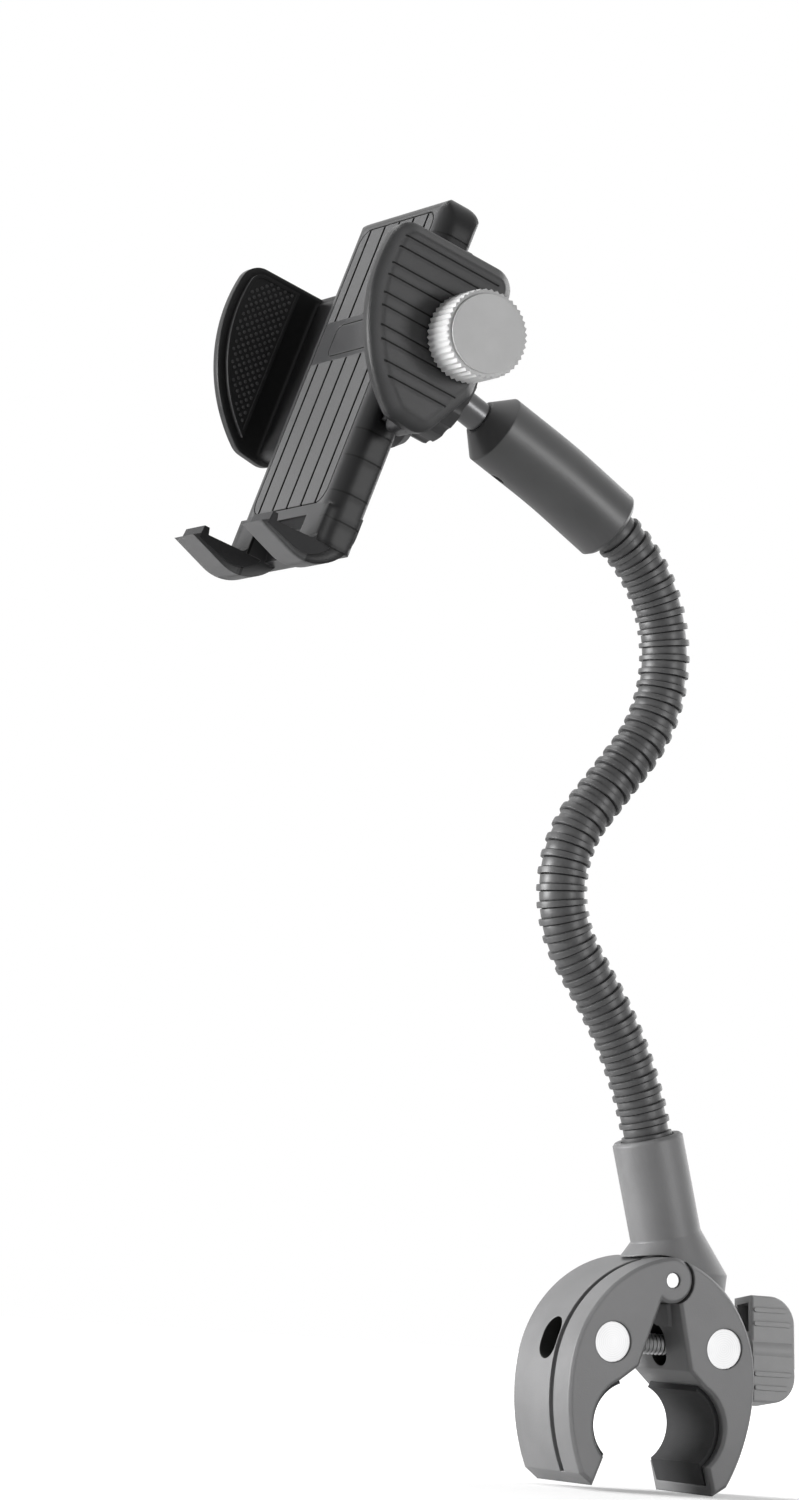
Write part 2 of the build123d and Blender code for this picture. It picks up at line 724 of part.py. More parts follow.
def arm_outline(plane):
    """An arm's paddle from the side: a straight top, a long bowed front edge and a cut-back foot."""
    with BuildSketch(plane) as outline:
        with BuildLine():
            top = Line((arm_back, arm_top), (arm_front - arm_top_set, arm_top))
            bow = (arm_front - arm_bow_set, arm_bow_up)
            front = ThreePointArc(top @ 1, bow, (arm_front - arm_tail_set, arm_bottom + arm_tail_rise))
            foot = Line(front @ 1, (arm_back + arm_heel_set, arm_bottom))
            rear = Line(foot @ 1, (arm_back, arm_bottom + arm_heel_rise))
            Line(rear @ 1, top @ 0)
        make_face()
        fillet(outline.vertices(), arm_round)
    return outline.sketch


def carriage_outline(side):
    """The thick inner part of an arm, behind its pad, seen from the side."""
    with BuildSketch(side_plane(side * carriage_inner)) as outline:
        with BuildLine():
            Polyline(
                (carriage_front, arm_top - carriage_inset),
                (carriage_back, arm_top - carriage_inset),
                (carriage_back, arm_bottom + carriage_heel_rise),
                (carriage_back + carriage_heel_set, arm_bottom + carriage_inset),
                (carriage_front, arm_bottom + carriage_inset),
                close=True,
            )
        make_face()
        fillet(outline.vertices().group_by(Axis.Y)[0], arm_round / 3)
    return outline.sketch


def web_outline(side):
    """The flat web by which an arm slides into the housing, notched for the end of the other arm's rack."""
    notch_end = rack_past + 2 * arm_closes + bar_gap
    notch_height = rack_edge + bar_gap
    with BuildSketch(back_plane.offset(bar_gap)) as outline:
        with Locations((side * (web_inner + carriage_inner + fuse) / 2, (web_low + web_high) / 2)):
            Rectangle(carriage_inner + fuse - web_inner, web_high - web_low)
        with Locations((side * notch_end / 2, -side * notch_height / 2)):
            Rectangle(notch_end, notch_height, mode=Mode.SUBTRACT)
    return outline.sketch


def arm_pad_outline(plane, inset=0.0):
    """The rubber on an arm's inner face: the paddle's front part, inset all round."""
    with BuildSketch(plane) as outline:
        add(arm_outline(Plane.XY))
        offset(amount=-arm_pad_inset - inset)
        with Locations((arm_pad_back + inset - arm_half, 0)):
            Rectangle(2 * arm_half, 4 * arm_half, mode=Mode.SUBTRACT)
    return outline.sketch


def pinion_outline(plane):
    """A gear with involute flanks, each tooth thinned for play."""
    press_angle = math.radians(pressure_angle)
    base = pinion_radius * math.cos(press_angle)
    pitch_roll = math.tan(press_angle) - press_angle
    half = (math.pi * module / 2 - tooth_play) / 2 / pinion_radius
    flank = []
    for radius in (pinion_radius - pinion_root, base, pinion_radius, pinion_radius + pinion_addendum):
        press = math.acos(min(1.0, base / radius))
        flank.append((radius, half + pitch_roll - (math.tan(press) - press)))
    points = []
    for tooth in range(pinion_teeth):
        middle = 2 * math.pi * tooth / pinion_teeth
        for radius, angle in flank:
            points.append((radius * math.cos(middle - angle), radius * math.sin(middle - angle)))
        for radius, angle in reversed(flank):
            points.append((radius * math.cos(middle + angle), radius * math.sin(middle + angle)))
    with BuildSketch(plane) as outline:
        Polygon(*points, align=None)
        Circle(axle_radius + axle_clearance, mode=Mode.SUBTRACT)
    return outline.sketch


# Front plate: a shell with grooved panels, two hooked feet, and channels for the racks in its back.
with BuildPart() as front_plate:
    with BuildSketch(level_plane(plate_floor)):
        with BuildLine():
            Line((0, 0), (panel_half, 0))
            edge = TangentArc((panel_half, 0), (plate_half, side_depth), tangent=(1, 0))
            Polyline(
                edge @ 1, (plate_half, plate_depth - back_chamfer),
                (plate_half - back_chamfer, plate_depth), (0, plate_depth),
            )
            mirror(about=Plane.YZ)
        make_face()
    extrude(amount=plate_top - plate_floor)
    with BuildSketch(cradle) as face_shape:
        with Locations((0, (plate_top + plate_floor) / 2)):
            Rectangle(2 * plate_half, plate_top - plate_floor)
        fillet(face_shape.vertices().group_by(Axis.Y)[-1], plate_corner)
    extrude(amount=-plate_depth, mode=Mode.INTERSECT)
    with BuildSketch(side_plane(plate_half)) as side_shape:
        with Locations((-plate_depth / 2, (plate_top + plate_floor) / 2)):
            Rectangle(plate_depth, plate_top - plate_floor)
        fillet(side_shape.vertices().group_by(Axis.Y)[-1], plate_round)
    extrude(amount=2 * plate_half, mode=Mode.INTERSECT)
    with BuildSketch(cradle):
        with Locations((0, plate_floor + notch_rise / 2)):
            Rectangle(2 * foot_out - foot_width, notch_rise)
    extrude(amount=-notch_depth, mode=Mode.SUBTRACT)
    for side in (-1, 1):
        hook_plane = side_plane(side * foot_out + foot_width / 2)
        extrude(foot_outline(hook_plane), amount=foot_width)
        extrude(foot_pad_outline(hook_plane), amount=foot_width, mode=Mode.SUBTRACT)
    for low, high in ((panel_low, band_low), (band_high, panel_high)):
        with BuildSketch(cradle):
            with Locations((0, (low + high) / 2)):
                with GridLocations(panel_groove_pitch, 0, panel_grooves, 1):
                    Rectangle(panel_groove_width, high - low)
        extrude(amount=-panel_groove_depth, mode=Mode.SUBTRACT)
    with BuildSketch(cradle):
        with Locations((0, (panel_low + panel_high) / 2)):
            width = 2 * (panel_half - panel_inset)
            RectangleRounded(width, panel_high - panel_low, panel_corner)
            RectangleRounded(
                width - 2 * outline_width, panel_high - panel_low - 2 * outline_width,
                panel_corner - outline_width, mode=Mode.SUBTRACT,
            )
        RectangleRounded(2 * window_half, window_height, window_corner)
        RectangleRounded(
            2 * (window_half - outline_width), window_height - 2 * outline_width,
            window_corner - outline_width, mode=Mode.SUBTRACT,
        )
    extrude(amount=-outline_depth, mode=Mode.SUBTRACT)
    with BuildSketch(rear_plane):
        for side in (-plate_half, plate_half):
            with Locations((side, side_line_low + side_line_pitch / 2)):
                with GridLocations(0, side_line_pitch, 1, 2):
                    with GridLocations(0, side_line_gap, 1, 2):
                        Rectangle(2 * side_line_depth, side_line_width)
            with Locations((side, side_line_top)):
                Rectangle(2 * side_line_depth, side_line_width)
    extrude(amount=plate_depth, mode=Mode.SUBTRACT)
    side_end = plate_half + fuse
    rack_room = rack_past + arm_closes + bar_gap + side_end
    web_room = side_end - web_inner + arm_closes + bar_gap
    guide_room = arm_closes + bar_gap - guide_past + side_end
    with BuildSketch(back_plane):
        for side in (-1, 1):
            with Locations((side * (side_end - rack_room / 2), side * (rack_tip + rack_edge) / 2)):
                Rectangle(rack_room, rack_edge - rack_tip + 2 * bar_gap)
            with Locations((side * (side_end - guide_room / 2), -side * (guide_low + guide_height / 2))):
                Rectangle(guide_room, guide_height + 2 * bar_gap)
            with Locations((side * (side_end - web_room / 2), (web_low + web_high) / 2)):
                Rectangle(web_room, web_high - web_low + 2 * bar_gap)
        Circle(pinion_radius + module + bar_gap)
    extrude(amount=channel_depth, mode=Mode.SUBTRACT)
    cam_room = side_end - cam_start + arm_closes + bar_gap
    with BuildSketch(rear_plane):
        with Locations((side_end - cam_room / 2, knob_up)):
            Rectangle(cam_room, 2 * (cam_long + cam_gap))
    extrude(amount=plate_depth - knob_back + cam_long + cam_gap, mode=Mode.SUBTRACT)
    with BuildSketch(rear_plane):
        with Locations((0, (cover_low + cover_high) / 2)):
            pocket_height = cover_high - cover_low + 2 * cover_gap
            RectangleRounded(2 * (cover_half + cover_gap), pocket_height, cover_round)
    extrude(amount=plate_skin, mode=Mode.SUBTRACT)
    with BuildSketch(back_plane):
        Circle(axle_radius)
    extrude(amount=channel_depth)
    with BuildSketch(back_plane):
        with GridLocations(2 * fastener_across, 2 * fastener_up, 2, 2):
            Circle(fastener_radius)
    extrude(amount=fastener_depth, mode=Mode.SUBTRACT)

with BuildPart() as left_foot_pad:
    extrude(foot_pad_outline(side_plane(-foot_out + foot_width / 2)), amount=foot_width)

with BuildPart() as right_foot_pad:
    extrude(foot_pad_outline(side_plane(foot_out + foot_width / 2)), amount=foot_width)

# Back cover with a round boss for the ball socket.
socket_radius = ball_radius + ball_clearance + ball_pad_thickness + socket_gap
ring_seat = ball_depth + ring_front
with BuildPart() as back_cover:
    with BuildSketch(back_plane):
        with Locations((0, (cover_low + cover_high) / 2)):
            RectangleRounded(2 * cover_half, cover_high - cover_low, cover_round)
    extrude(amount=-cover_thickness)
    rear_face = back_cover.faces().sort_by(Axis(cradle.origin, face_normal))[0]
    chamfer(rear_face.edges(), cover_chamfer)
    with BuildSketch(back_plane):
        Circle(boss_radius)
    extrude(amount=plate_thickness - boss_end)
    with BuildSketch(cradle.offset(-boss_end)):
        Circle(socket_radius)
    extrude(amount=boss_end - ball_depth + socket_radius, mode=Mode.SUBTRACT)
    with BuildSketch(cradle.offset(-boss_end)):
        Circle(ring_radius + ring_clearance)
    extrude(amount=boss_end - ring_seat + ring_clearance, mode=Mode.SUBTRACT)
    with BuildSketch(back_plane):
        with Locations((cover_half + fuse - cam_room / 2, knob_up)):
            Rectangle(cam_room, 2 * (cam_long + cam_gap))
    extrude(amount=plate_thickness - knob_back - cam_long - cam_gap, mode=Mode.SUBTRACT)
    with BuildSketch(back_plane):
        with GridLocations(2 * fastener_across, 2 * fastener_up, 2, 2):
            Circle(fastener_radius + fastener_clearance)
    extrude(amount=-cover_thickness, mode=Mode.SUBTRACT)
    with BuildSketch(back_plane.offset(-fastener_web)):
        with GridLocations(2 * fastener_across, 2 * fastener_up, 2, 2):
            Circle(fastener_head + fastener_clearance)
    extrude(amount=-cover_thickness, mode=Mode.SUBTRACT)

with BuildPart() as housing_screws:
    with BuildSketch(back_plane.offset(-fastener_web)):
        with GridLocations(2 * fastener_across, 2 * fastener_up, 2, 2):
            Circle(fastener_head)
    extrude(amount=-fastener_head_height)
    with BuildSketch(back_plane.offset(-fastener_web)):
        with GridLocations(2 * fastener_across, 2 * fastener_up, 2, 2):
            Circle(fastener_radius)
    extrude(amount=fastener_web + fastener_depth)

# What holds the ball: a pad in front of it, a seat ring behind it, and a screwed collar.
with BuildPart() as ball_pad:
    with BuildSketch(meridian):
        with BuildLine():
            inner = CenterArc((0, 0), ball_radius + ball_clearance, 90 - ball_pad_angle, ball_pad_angle)
            outer = CenterArc((0, 0), socket_radius - socket_gap, 90 - ball_pad_angle, ball_pad_angle)
            Line(inner @ 0, outer @ 0)
            Line(inner @ 1, outer @ 1)
        make_face()
    revolve(axis=socket_axis)

contact_r, contact_z = polar(ball_radius + ball_clearance, seat_angle - 90)
front_r = contact_r + (-ring_front - contact_z) * -contact_z / contact_r
with BuildPart() as seat_ring:
    with BuildSketch(meridian):
        Polygon(
            (contact_r, contact_z), (front_r, -ring_front), (ring_radius, -ring_front),
            (ring_radius, -ring_back), (ring_mouth, -ring_back), align=None,
        )
    revolve(axis=socket_axis)

with BuildPart() as socket_collar:
    with BuildSketch(cradle.offset(-collar_back)):
        Circle(collar_radius)
        with PolarLocations(collar_radius + collar_flute_out, collar_flutes):
            Circle(collar_flute_radius, mode=Mode.SUBTRACT)
    extrude(amount=collar_back - collar_front)
    with BuildSketch(cradle.offset(-ball_depth - ring_back - thrust_gap)):
        Circle(boss_radius + ring_clearance)
    extrude(amount=collar_back - collar_front, mode=Mode.SUBTRACT)
    with BuildSketch(cradle.offset(-collar_back)):
        Circle(collar_mouth)
    extrude(amount=collar_back - collar_front, mode=Mode.SUBTRACT)

# Arms with their racks and guide bars, rubber pads, and the pinion that keeps them level.
with BuildPart() as right_arm:
    extrude(arm_outline(side_plane(arm_half)), amount=arm_wall)
    chamfer(right_arm.faces().sort_by(Axis.Y)[0].edges(), arm_bevel)
    with BuildSketch(side_plane(arm_half)):
        with Locations(((arm_front + arm_line_back) / 2, arm_line_middle)):
            with GridLocations(0, arm_line_pitch, 1, arm_line_pairs):
                with GridLocations(0, arm_line_gap, 1, 2):
                    Rectangle(arm_front - arm_line_back, arm_line_width)
    extrude(amount=arm_line_depth, mode=Mode.SUBTRACT)
    extrude(carriage_outline(1), amount=carriage_inner - arm_half + arm_wall)
    extrude(web_outline(1), amount=bar_thickness)
    extrude(rack_outline(1), amount=bar_thickness)
    extrude(guide_outline(1), amount=bar_thickness)
    with BuildSketch(side_plane(arm_half)):
        with Locations((-knob_back, knob_up)):
            Circle(shaft_radius + shaft_clearance)
    extrude(amount=arm_half, mode=Mode.SUBTRACT)

with BuildPart() as left_arm:
    extrude(arm_outline(side_plane(arm_wall - arm_half)), amount=arm_wall)
    chamfer(left_arm.faces().sort_by(Axis.Y)[-1].edges(), arm_bevel)
    with BuildSketch(side_plane(-arm_half)):
        with Locations(((arm_front + arm_line_back) / 2, arm_line_middle)):
            with GridLocations(0, arm_line_pitch, 1, arm_line_pairs):
                with GridLocations(0, arm_line_gap, 1, 2):
                    Rectangle(arm_front - arm_line_back, arm_line_width)
    extrude(amount=-arm_line_depth, mode=Mode.SUBTRACT)
    extrude(carriage_outline(-1), amount=arm_half - arm_wall - carriage_inner)
    extrude(web_outline(-1), amount=bar_thickness)
    extrude(rack_outline(-1), amount=bar_thickness)
    extrude(guide_outline(-1), amount=bar_thickness)

pad_face = arm_half - arm_wall - arm_pad_thickness
with BuildPart() as right_arm_pad:
    extrude(arm_pad_outline(side_plane(arm_half - arm_wall)), amount=arm_pad_thickness)
    inner_plane = side_plane(pad_face + arm_pad_rim_height)
    extrude(arm_pad_outline(inner_plane, arm_pad_rim), amount=arm_pad_rim_height, mode=Mode.SUBTRACT)

with BuildPart() as left_arm_pad:
    inner_plane = side_plane(-pad_face)
    extrude(arm_pad_outline(inner_plane), amount=arm_pad_thickness)
    extrude(arm_pad_outline(inner_plane, arm_pad_rim), amount=arm_pad_rim_height, mode=Mode.SUBTRACT)

with BuildPart() as pinion:
    extrude(pinion_outline(back_plane.offset(bar_gap)), amount=bar_thickness)

# Locking knob with a toothed rim, and its shaft ending in an oval cam inside the housing.
knob_base = arm_half + knob_gap
knob_plane = side_plane(knob_base + knob_thickness)
with BuildPart() as lock_knob:
    with BuildSketch(knob_plane):
        with Locations((-knob_back, knob_up)):
            Polygon(
                *[
                    polar(knob_radius - knob_tooth * (step % 2), 180 * step / knob_teeth)
                    for step in range(2 * knob_teeth)
                ],
                align=None,
            )
    extrude(amount=knob_thickness)
    with BuildSketch(knob_plane):
        with Locations((-knob_back, knob_up)):
            Circle(knob_face_radius)
    extrude(amount=-knob_face_height)
    with BuildSketch(side_plane(knob_base)):
        with Locations((-knob_back, knob_up)):
            Circle(shaft_radius)
    extrude(amount=-knob_thickness / 2, mode=Mode.SUBTRACT)

with BuildPart() as lock_shaft:
    with BuildSketch(side_plane(knob_base + knob_thickness / 2)):
        with Locations((-knob_back, knob_up)):
            Circle(shaft_radius)
    extrude(amount=knob_base + knob_thickness / 2 - cam_end)
    with BuildSketch(side_plane(cam_end)):
        with Locations((-knob_back, knob_up)):
            Ellipse(cam_short, cam_long)
    extrude(amount=cam_end - cam_start)

os.makedirs("parts", exist_ok=True)
fixed_jaw.part.label = "fixed_jaw"
export_step(fixed_jaw.part, "parts/fixed_jaw.step")
moving_jaw.part.label = "moving_jaw"
export_step(moving_jaw.part, "parts/moving_jaw.step")
hinge_pin.part.label = "hinge_pin"
export_step(hinge_pin.part, "parts/hinge_pin.step")
fixed_jaw_pad.part.label = "fixed_jaw_pad"
export_step(fixed_jaw_pad.part, "parts/fixed_jaw_pad.step")
moving_jaw_pad.part.label = "moving_jaw_pad"
export_step(moving_jaw_pad.part, "parts/moving_jaw_pad.step")
barrel_bush.part.label = "barrel_bush"
export_step(barrel_bush.part, "parts/barrel_bush.step")
barrel_nut.part.label = "barrel_nut"
export_step(barrel_nut.part, "parts/barrel_nut.step")
clamp_screw.part.label = "clamp_screw"
export_step(clamp_screw.part, "parts/clamp_screw.step")
wing_knob.part.label = "wing_knob"
export_step(wing_knob.part, "parts/wing_knob.step")
gooseneck.part.label = "gooseneck"
export_step(gooseneck.part, "parts/gooseneck.step")
neck_sleeve.part.label = "neck_sleeve"
export_step(neck_sleeve.part, "parts/neck_sleeve.step")
sleeve_grub_screw.part.label = "sleeve_grub_screw"
export_step(sleeve_grub_screw.part, "parts/sleeve_grub_screw.step")
ball_stud.part.label = "ball_stud"
export_step(ball_stud.part, "parts/ball_stud.step")
ball_pad.part.label = "ball_pad"
export_step(ball_pad.part, "parts/ball_pad.step")
seat_ring.part.label = "seat_ring"
export_step(seat_ring.part, "parts/seat_ring.step")
socket_collar.part.label = "socket_collar"
export_step(socket_collar.part, "parts/socket_collar.step")
back_cover.part.label = "back_cover"
export_step(back_cover.part, "parts/back_cover.step")
housing_screws.part.label = "housing_screws"
export_step(housing_screws.part, "parts/housing_screws.step")
front_plate.part.label = "front_plate"
export_step(front_plate.part, "parts/front_plate.step")
left_foot_pad.part.label = "left_foot_pad"
export_step(left_foot_pad.part, "parts/left_foot_pad.step")
right_foot_pad.part.label = "right_foot_pad"
export_step(right_foot_pad.part, "parts/right_foot_pad.step")
left_arm.part.label = "left_arm"
export_step(left_arm.part, "parts/left_arm.step")
right_arm.part.label = "right_arm"
export_step(right_arm.part, "parts/right_arm.step")
left_arm_pad.part.label = "left_arm_pad"
export_step(left_arm_pad.part, "parts/left_arm_pad.step")
right_arm_pad.part.label = "right_arm_pad"
export_step(right_arm_pad.part, "parts/right_arm_pad.step")
pinion.part.label = "pinion"
export_step(pinion.part, "parts/pinion.step")
lock_knob.part.label = "lock_knob"
export_step(lock_knob.part, "parts/lock_knob.step")
lock_shaft.part.label = "lock_shaft"
export_step(lock_shaft.part, "parts/lock_shaft.step")
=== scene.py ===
import bpy
import math
import numpy as np
from mathutils import Matrix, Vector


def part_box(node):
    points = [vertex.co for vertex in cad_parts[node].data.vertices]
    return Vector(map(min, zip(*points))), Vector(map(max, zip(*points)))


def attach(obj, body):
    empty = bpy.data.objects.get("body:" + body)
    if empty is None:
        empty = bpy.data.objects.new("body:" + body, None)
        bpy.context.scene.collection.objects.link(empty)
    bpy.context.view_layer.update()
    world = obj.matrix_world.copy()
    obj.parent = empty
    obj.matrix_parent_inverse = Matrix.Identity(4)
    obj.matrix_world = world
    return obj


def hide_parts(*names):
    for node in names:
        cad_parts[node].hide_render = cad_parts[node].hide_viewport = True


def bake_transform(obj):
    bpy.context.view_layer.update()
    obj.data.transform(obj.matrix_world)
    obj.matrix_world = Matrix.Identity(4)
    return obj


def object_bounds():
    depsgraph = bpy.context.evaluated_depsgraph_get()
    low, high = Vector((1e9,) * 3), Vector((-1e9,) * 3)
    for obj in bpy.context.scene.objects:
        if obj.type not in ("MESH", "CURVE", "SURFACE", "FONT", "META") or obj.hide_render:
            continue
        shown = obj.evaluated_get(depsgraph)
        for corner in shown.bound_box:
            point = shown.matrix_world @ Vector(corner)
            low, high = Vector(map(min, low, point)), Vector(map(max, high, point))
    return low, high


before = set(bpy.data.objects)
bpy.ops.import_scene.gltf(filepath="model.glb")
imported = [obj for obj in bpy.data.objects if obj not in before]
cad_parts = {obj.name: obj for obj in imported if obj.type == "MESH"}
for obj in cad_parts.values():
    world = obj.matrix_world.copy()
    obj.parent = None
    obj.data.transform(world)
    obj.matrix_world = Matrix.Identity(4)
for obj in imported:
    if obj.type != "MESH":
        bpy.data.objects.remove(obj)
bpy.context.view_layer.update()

# Clamp jaws: two zinc castings that close round a pipe, blasted to an even satin grey.
# Their cast edges are rubbed brighter by handling. The post for the neck is cast with the fixed jaw.
MM = 0.001


def shader_of(material):
    """The Principled shader of a material."""
    return material.node_tree.nodes["Principled BSDF"]


def new_finish(name, colour, roughness, metallic=0.0):
    """A material with one Principled shader of this colour, roughness and metalness."""
    material = bpy.data.materials.new(name)
    material.use_nodes = True
    shader = shader_of(material)
    shader.inputs["Base Color"].default_value = (*colour, 1.0)
    shader.inputs["Roughness"].default_value = roughness
    shader.inputs["Metallic"].default_value = metallic
    return material


def new_group(name, inputs, outputs):
    """An empty shader node group with value or vector sockets, and its two end nodes."""
    kinds = {"value": "NodeSocketFloat", "vector": "NodeSocketVector"}
    group = bpy.data.node_groups.new(name, "ShaderNodeTree")
    for label, kind in inputs:
        group.interface.new_socket(label, in_out="INPUT", socket_type=kinds[kind])
    for label, kind in outputs:
        group.interface.new_socket(label, in_out="OUTPUT", socket_type=kinds[kind])
    return group, group.nodes.new("NodeGroupInput"), group.nodes.new("NodeGroupOutput")


def join(tree, source, target):
    """Links an output socket to an input socket."""
    tree.links.new(source, target)


def math_node(tree, operation, first, second=None, clamp=False):
    """A Math node; each operand is a number or an output socket. Gives back its output."""
    node = tree.nodes.new("ShaderNodeMath")
    node.operation = operation
    node.use_clamp = clamp
    for place, operand in enumerate((first, second)):
        if operand is None:
            continue
        if isinstance(operand, (int, float)):
            node.inputs[place].default_value = operand
        else:
            join(tree, operand, node.inputs[place])
    return node.outputs[0]


def complement(tree, mask):
    """One less a mask."""
    return math_node(tree, "SUBTRACT", 1.0, mask)


def length_of(tree, first, second):
    """The root of the sum of two squares."""
    squares = [math_node(tree, "MULTIPLY", side, side) for side in (first, second)]
    return math_node(tree, "SQRT", math_node(tree, "ADD", *squares))


def mix_colour(tree, share, first, second):
    """Mixes two colours, each a triple or an output socket, by a share from a socket.
    A Mix node has sockets for every kind of data, so its colour sockets are taken by number."""
    first_place, second_place, result_place = 6, 7, 2
    node = tree.nodes.new("ShaderNodeMix")
    node.data_type = "RGBA"
    join(tree, share, node.inputs["Factor"])
    for place, operand in ((first_place, first), (second_place, second)):
        if isinstance(operand, tuple):
            node.inputs[place].default_value = (*operand, 1.0)
        else:
            join(tree, operand, node.inputs[place])
    return node.outputs[result_place]


def ramp(tree, value, low, high):
    """A smooth step of a value between two limits."""
    node = tree.nodes.new("ShaderNodeMapRange")
    node.interpolation_type = "SMOOTHSTEP"
    join(tree, value, node.inputs["Value"])
    node.inputs["From Min"].default_value = low
    node.inputs["From Max"].default_value = high
    return node.outputs["Result"]


def scaled_up(tree, value, gain, base):
    """A value times a gain, plus a base."""
    result = math_node(tree, "MULTIPLY_ADD", value, gain)
    result.node.inputs[2].default_value = base
    return result


def surface_place(tree):
    """The point on the surface in the object's own frame, in metres."""
    return tree.nodes.new("ShaderNodeTexCoord").outputs["Object"]


def surface_axes(tree):
    """The X, Y and Z of the point on the surface, in metres."""
    split = tree.nodes.new("ShaderNodeSeparateXYZ")
    join(tree, surface_place(tree), split.inputs["Vector"])
    return split.outputs["X"], split.outputs["Y"], split.outputs["Z"]


# Fine grain shared by the cast, moulded and rubber surfaces: even noise for the bump, and slow
# cloudiness for small changes of tone and gloss. The scales are in grains and clouds per metre.
grain_group, grain_in, grain_out = new_group(
    "fine_grain",
    [("Vector", "vector"), ("Scale", "value"), ("Cloud Scale", "value")],
    [("Grain", "value"), ("Cloud", "value")],
)
grain_noise = grain_group.nodes.new("ShaderNodeTexNoise")
grain_noise.inputs["Detail"].default_value = 3.0
grain_noise.inputs["Roughness"].default_value = 0.6
cloud_noise = grain_group.nodes.new("ShaderNodeTexNoise")
cloud_noise.inputs["Detail"].default_value = 4.0
join(grain_group, grain_in.outputs["Vector"], grain_noise.inputs["Vector"])
join(grain_group, grain_in.outputs["Scale"], grain_noise.inputs["Scale"])
join(grain_group, grain_in.outputs["Vector"], cloud_noise.inputs["Vector"])
join(grain_group, grain_in.outputs["Cloud Scale"], cloud_noise.inputs["Scale"])
join(grain_group, grain_noise.outputs["Fac"], grain_out.inputs["Grain"])
join(grain_group, cloud_noise.outputs["Fac"], grain_out.inputs["Cloud"])

# Edge mask: how far a normal rounded over the edges turns from the true one, broken up by noise.
edge_least, edge_gain = 0.03, 6.0
edge_group, edge_in, edge_out = new_group(
    "rubbed_edges",
    [("Vector", "vector"), ("Radius", "value"), ("Break Up", "value")],
    [("Edge", "value"), ("Normal", "vector")],
)
edge_round = edge_group.nodes.new("ShaderNodeBevel")
edge_round.samples = 6
edge_true = edge_group.nodes.new("ShaderNodeNewGeometry")
edge_dot = edge_group.nodes.new("ShaderNodeVectorMath")
edge_dot.operation = "DOT_PRODUCT"
edge_noise = edge_group.nodes.new("ShaderNodeTexNoise")
edge_noise.inputs["Scale"].default_value = 700.0
join(edge_group, edge_in.outputs["Radius"], edge_round.inputs["Radius"])
join(edge_group, edge_round.outputs["Normal"], edge_dot.inputs[0])
join(edge_group, edge_true.outputs["Normal"], edge_dot.inputs[1])
join(edge_group, edge_in.outputs["Vector"], edge_noise.inputs["Vector"])
edge_turn = math_node(edge_group, "SUBTRACT", 1.0, edge_dot.outputs["Value"], clamp=True)
edge_over = math_node(edge_group, "SUBTRACT", edge_turn, edge_least)
edge_strength = math_node(edge_group, "MULTIPLY", edge_over, edge_gain, clamp=True)
edge_broken = math_node(edge_group, "MULTIPLY", edge_noise.outputs["Fac"], edge_in.outputs["Break Up"])
edge_mask = math_node(edge_group, "SUBTRACT", edge_strength, edge_broken, clamp=True)
join(edge_group, edge_mask, edge_out.inputs["Edge"])
join(edge_group, edge_round.outputs["Normal"], edge_out.inputs["Normal"])


def grained(name, colour, dark, roughness, grains, clouds, bump, edge_colour, edge_radius,
            metallic=0.0, gloss=0.3):
    """A finish with fine bump grain, cloudy tone between two colours, and lighter rubbed edges.
    The bump's height is the noise; the roughness swings with the cloud about its middle."""
    cloud_low, cloud_high = 0.3, 0.7
    rough_play = 0.12
    grain_height = 0.2 * MM
    break_up = 0.5
    material = new_finish(name, colour, roughness, metallic)
    tree = material.node_tree
    shader = shader_of(material)
    shader.inputs["Specular IOR Level"].default_value = gloss
    place = surface_place(tree)
    grain = tree.nodes.new("ShaderNodeGroup")
    grain.node_tree = grain_group
    grain.inputs["Scale"].default_value = grains
    grain.inputs["Cloud Scale"].default_value = clouds
    join(tree, place, grain.inputs["Vector"])
    edge = tree.nodes.new("ShaderNodeGroup")
    edge.node_tree = edge_group
    edge.inputs["Radius"].default_value = edge_radius
    edge.inputs["Break Up"].default_value = break_up
    join(tree, place, edge.inputs["Vector"])
    tone = mix_colour(tree, ramp(tree, grain.outputs["Cloud"], cloud_low, cloud_high), dark, colour)
    tone = mix_colour(tree, edge.outputs["Edge"], tone, edge_colour)
    join(tree, tone, shader.inputs["Base Color"])
    swing = scaled_up(tree, grain.outputs["Cloud"], rough_play, roughness - rough_play / 2)
    join(tree, swing, shader.inputs["Roughness"])
    relief = tree.nodes.new("ShaderNodeBump")
    relief.inputs["Strength"].default_value = bump
    relief.inputs["Distance"].default_value = grain_height
    join(tree, grain.outputs["Grain"], relief.inputs["Height"])
    join(tree, edge.outputs["Normal"], relief.inputs["Normal"])
    join(tree, relief.outputs["Normal"], shader.inputs["Normal"])
    return material


def dress(material, *nodes):
    """Gives CAD nodes this material in place of their plain one."""
    for node in nodes:
        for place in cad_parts[node].material_slots:
            place.material = material


def repaint(material, mask, colour, roughness=None):
    """Lays a colour, and a roughness if given, over a finish where a mask is 1."""
    tree = material.node_tree
    shader = shader_of(material)
    below = shader.inputs["Base Color"].links[0].from_socket
    join(tree, mix_colour(tree, mask, below, colour), shader.inputs["Base Color"])
    if roughness is not None:
        rough_below = shader.inputs["Roughness"].links[0].from_socket
        rest = math_node(tree, "MULTIPLY", rough_below, complement(tree, mask))
        share = math_node(tree, "MULTIPLY", mask, roughness)
        join(tree, math_node(tree, "ADD", rest, share), shader.inputs["Roughness"])


cast_grey = grained(
    "satin_cast_metal", colour=(0.175, 0.175, 0.177), dark=(0.155, 0.155, 0.157), roughness=0.48,
    grains=2600.0, clouds=90.0, bump=0.2, edge_colour=(0.24, 0.24, 0.243), edge_radius=0.6 * MM,
    metallic=0.2, gloss=0.25,
)
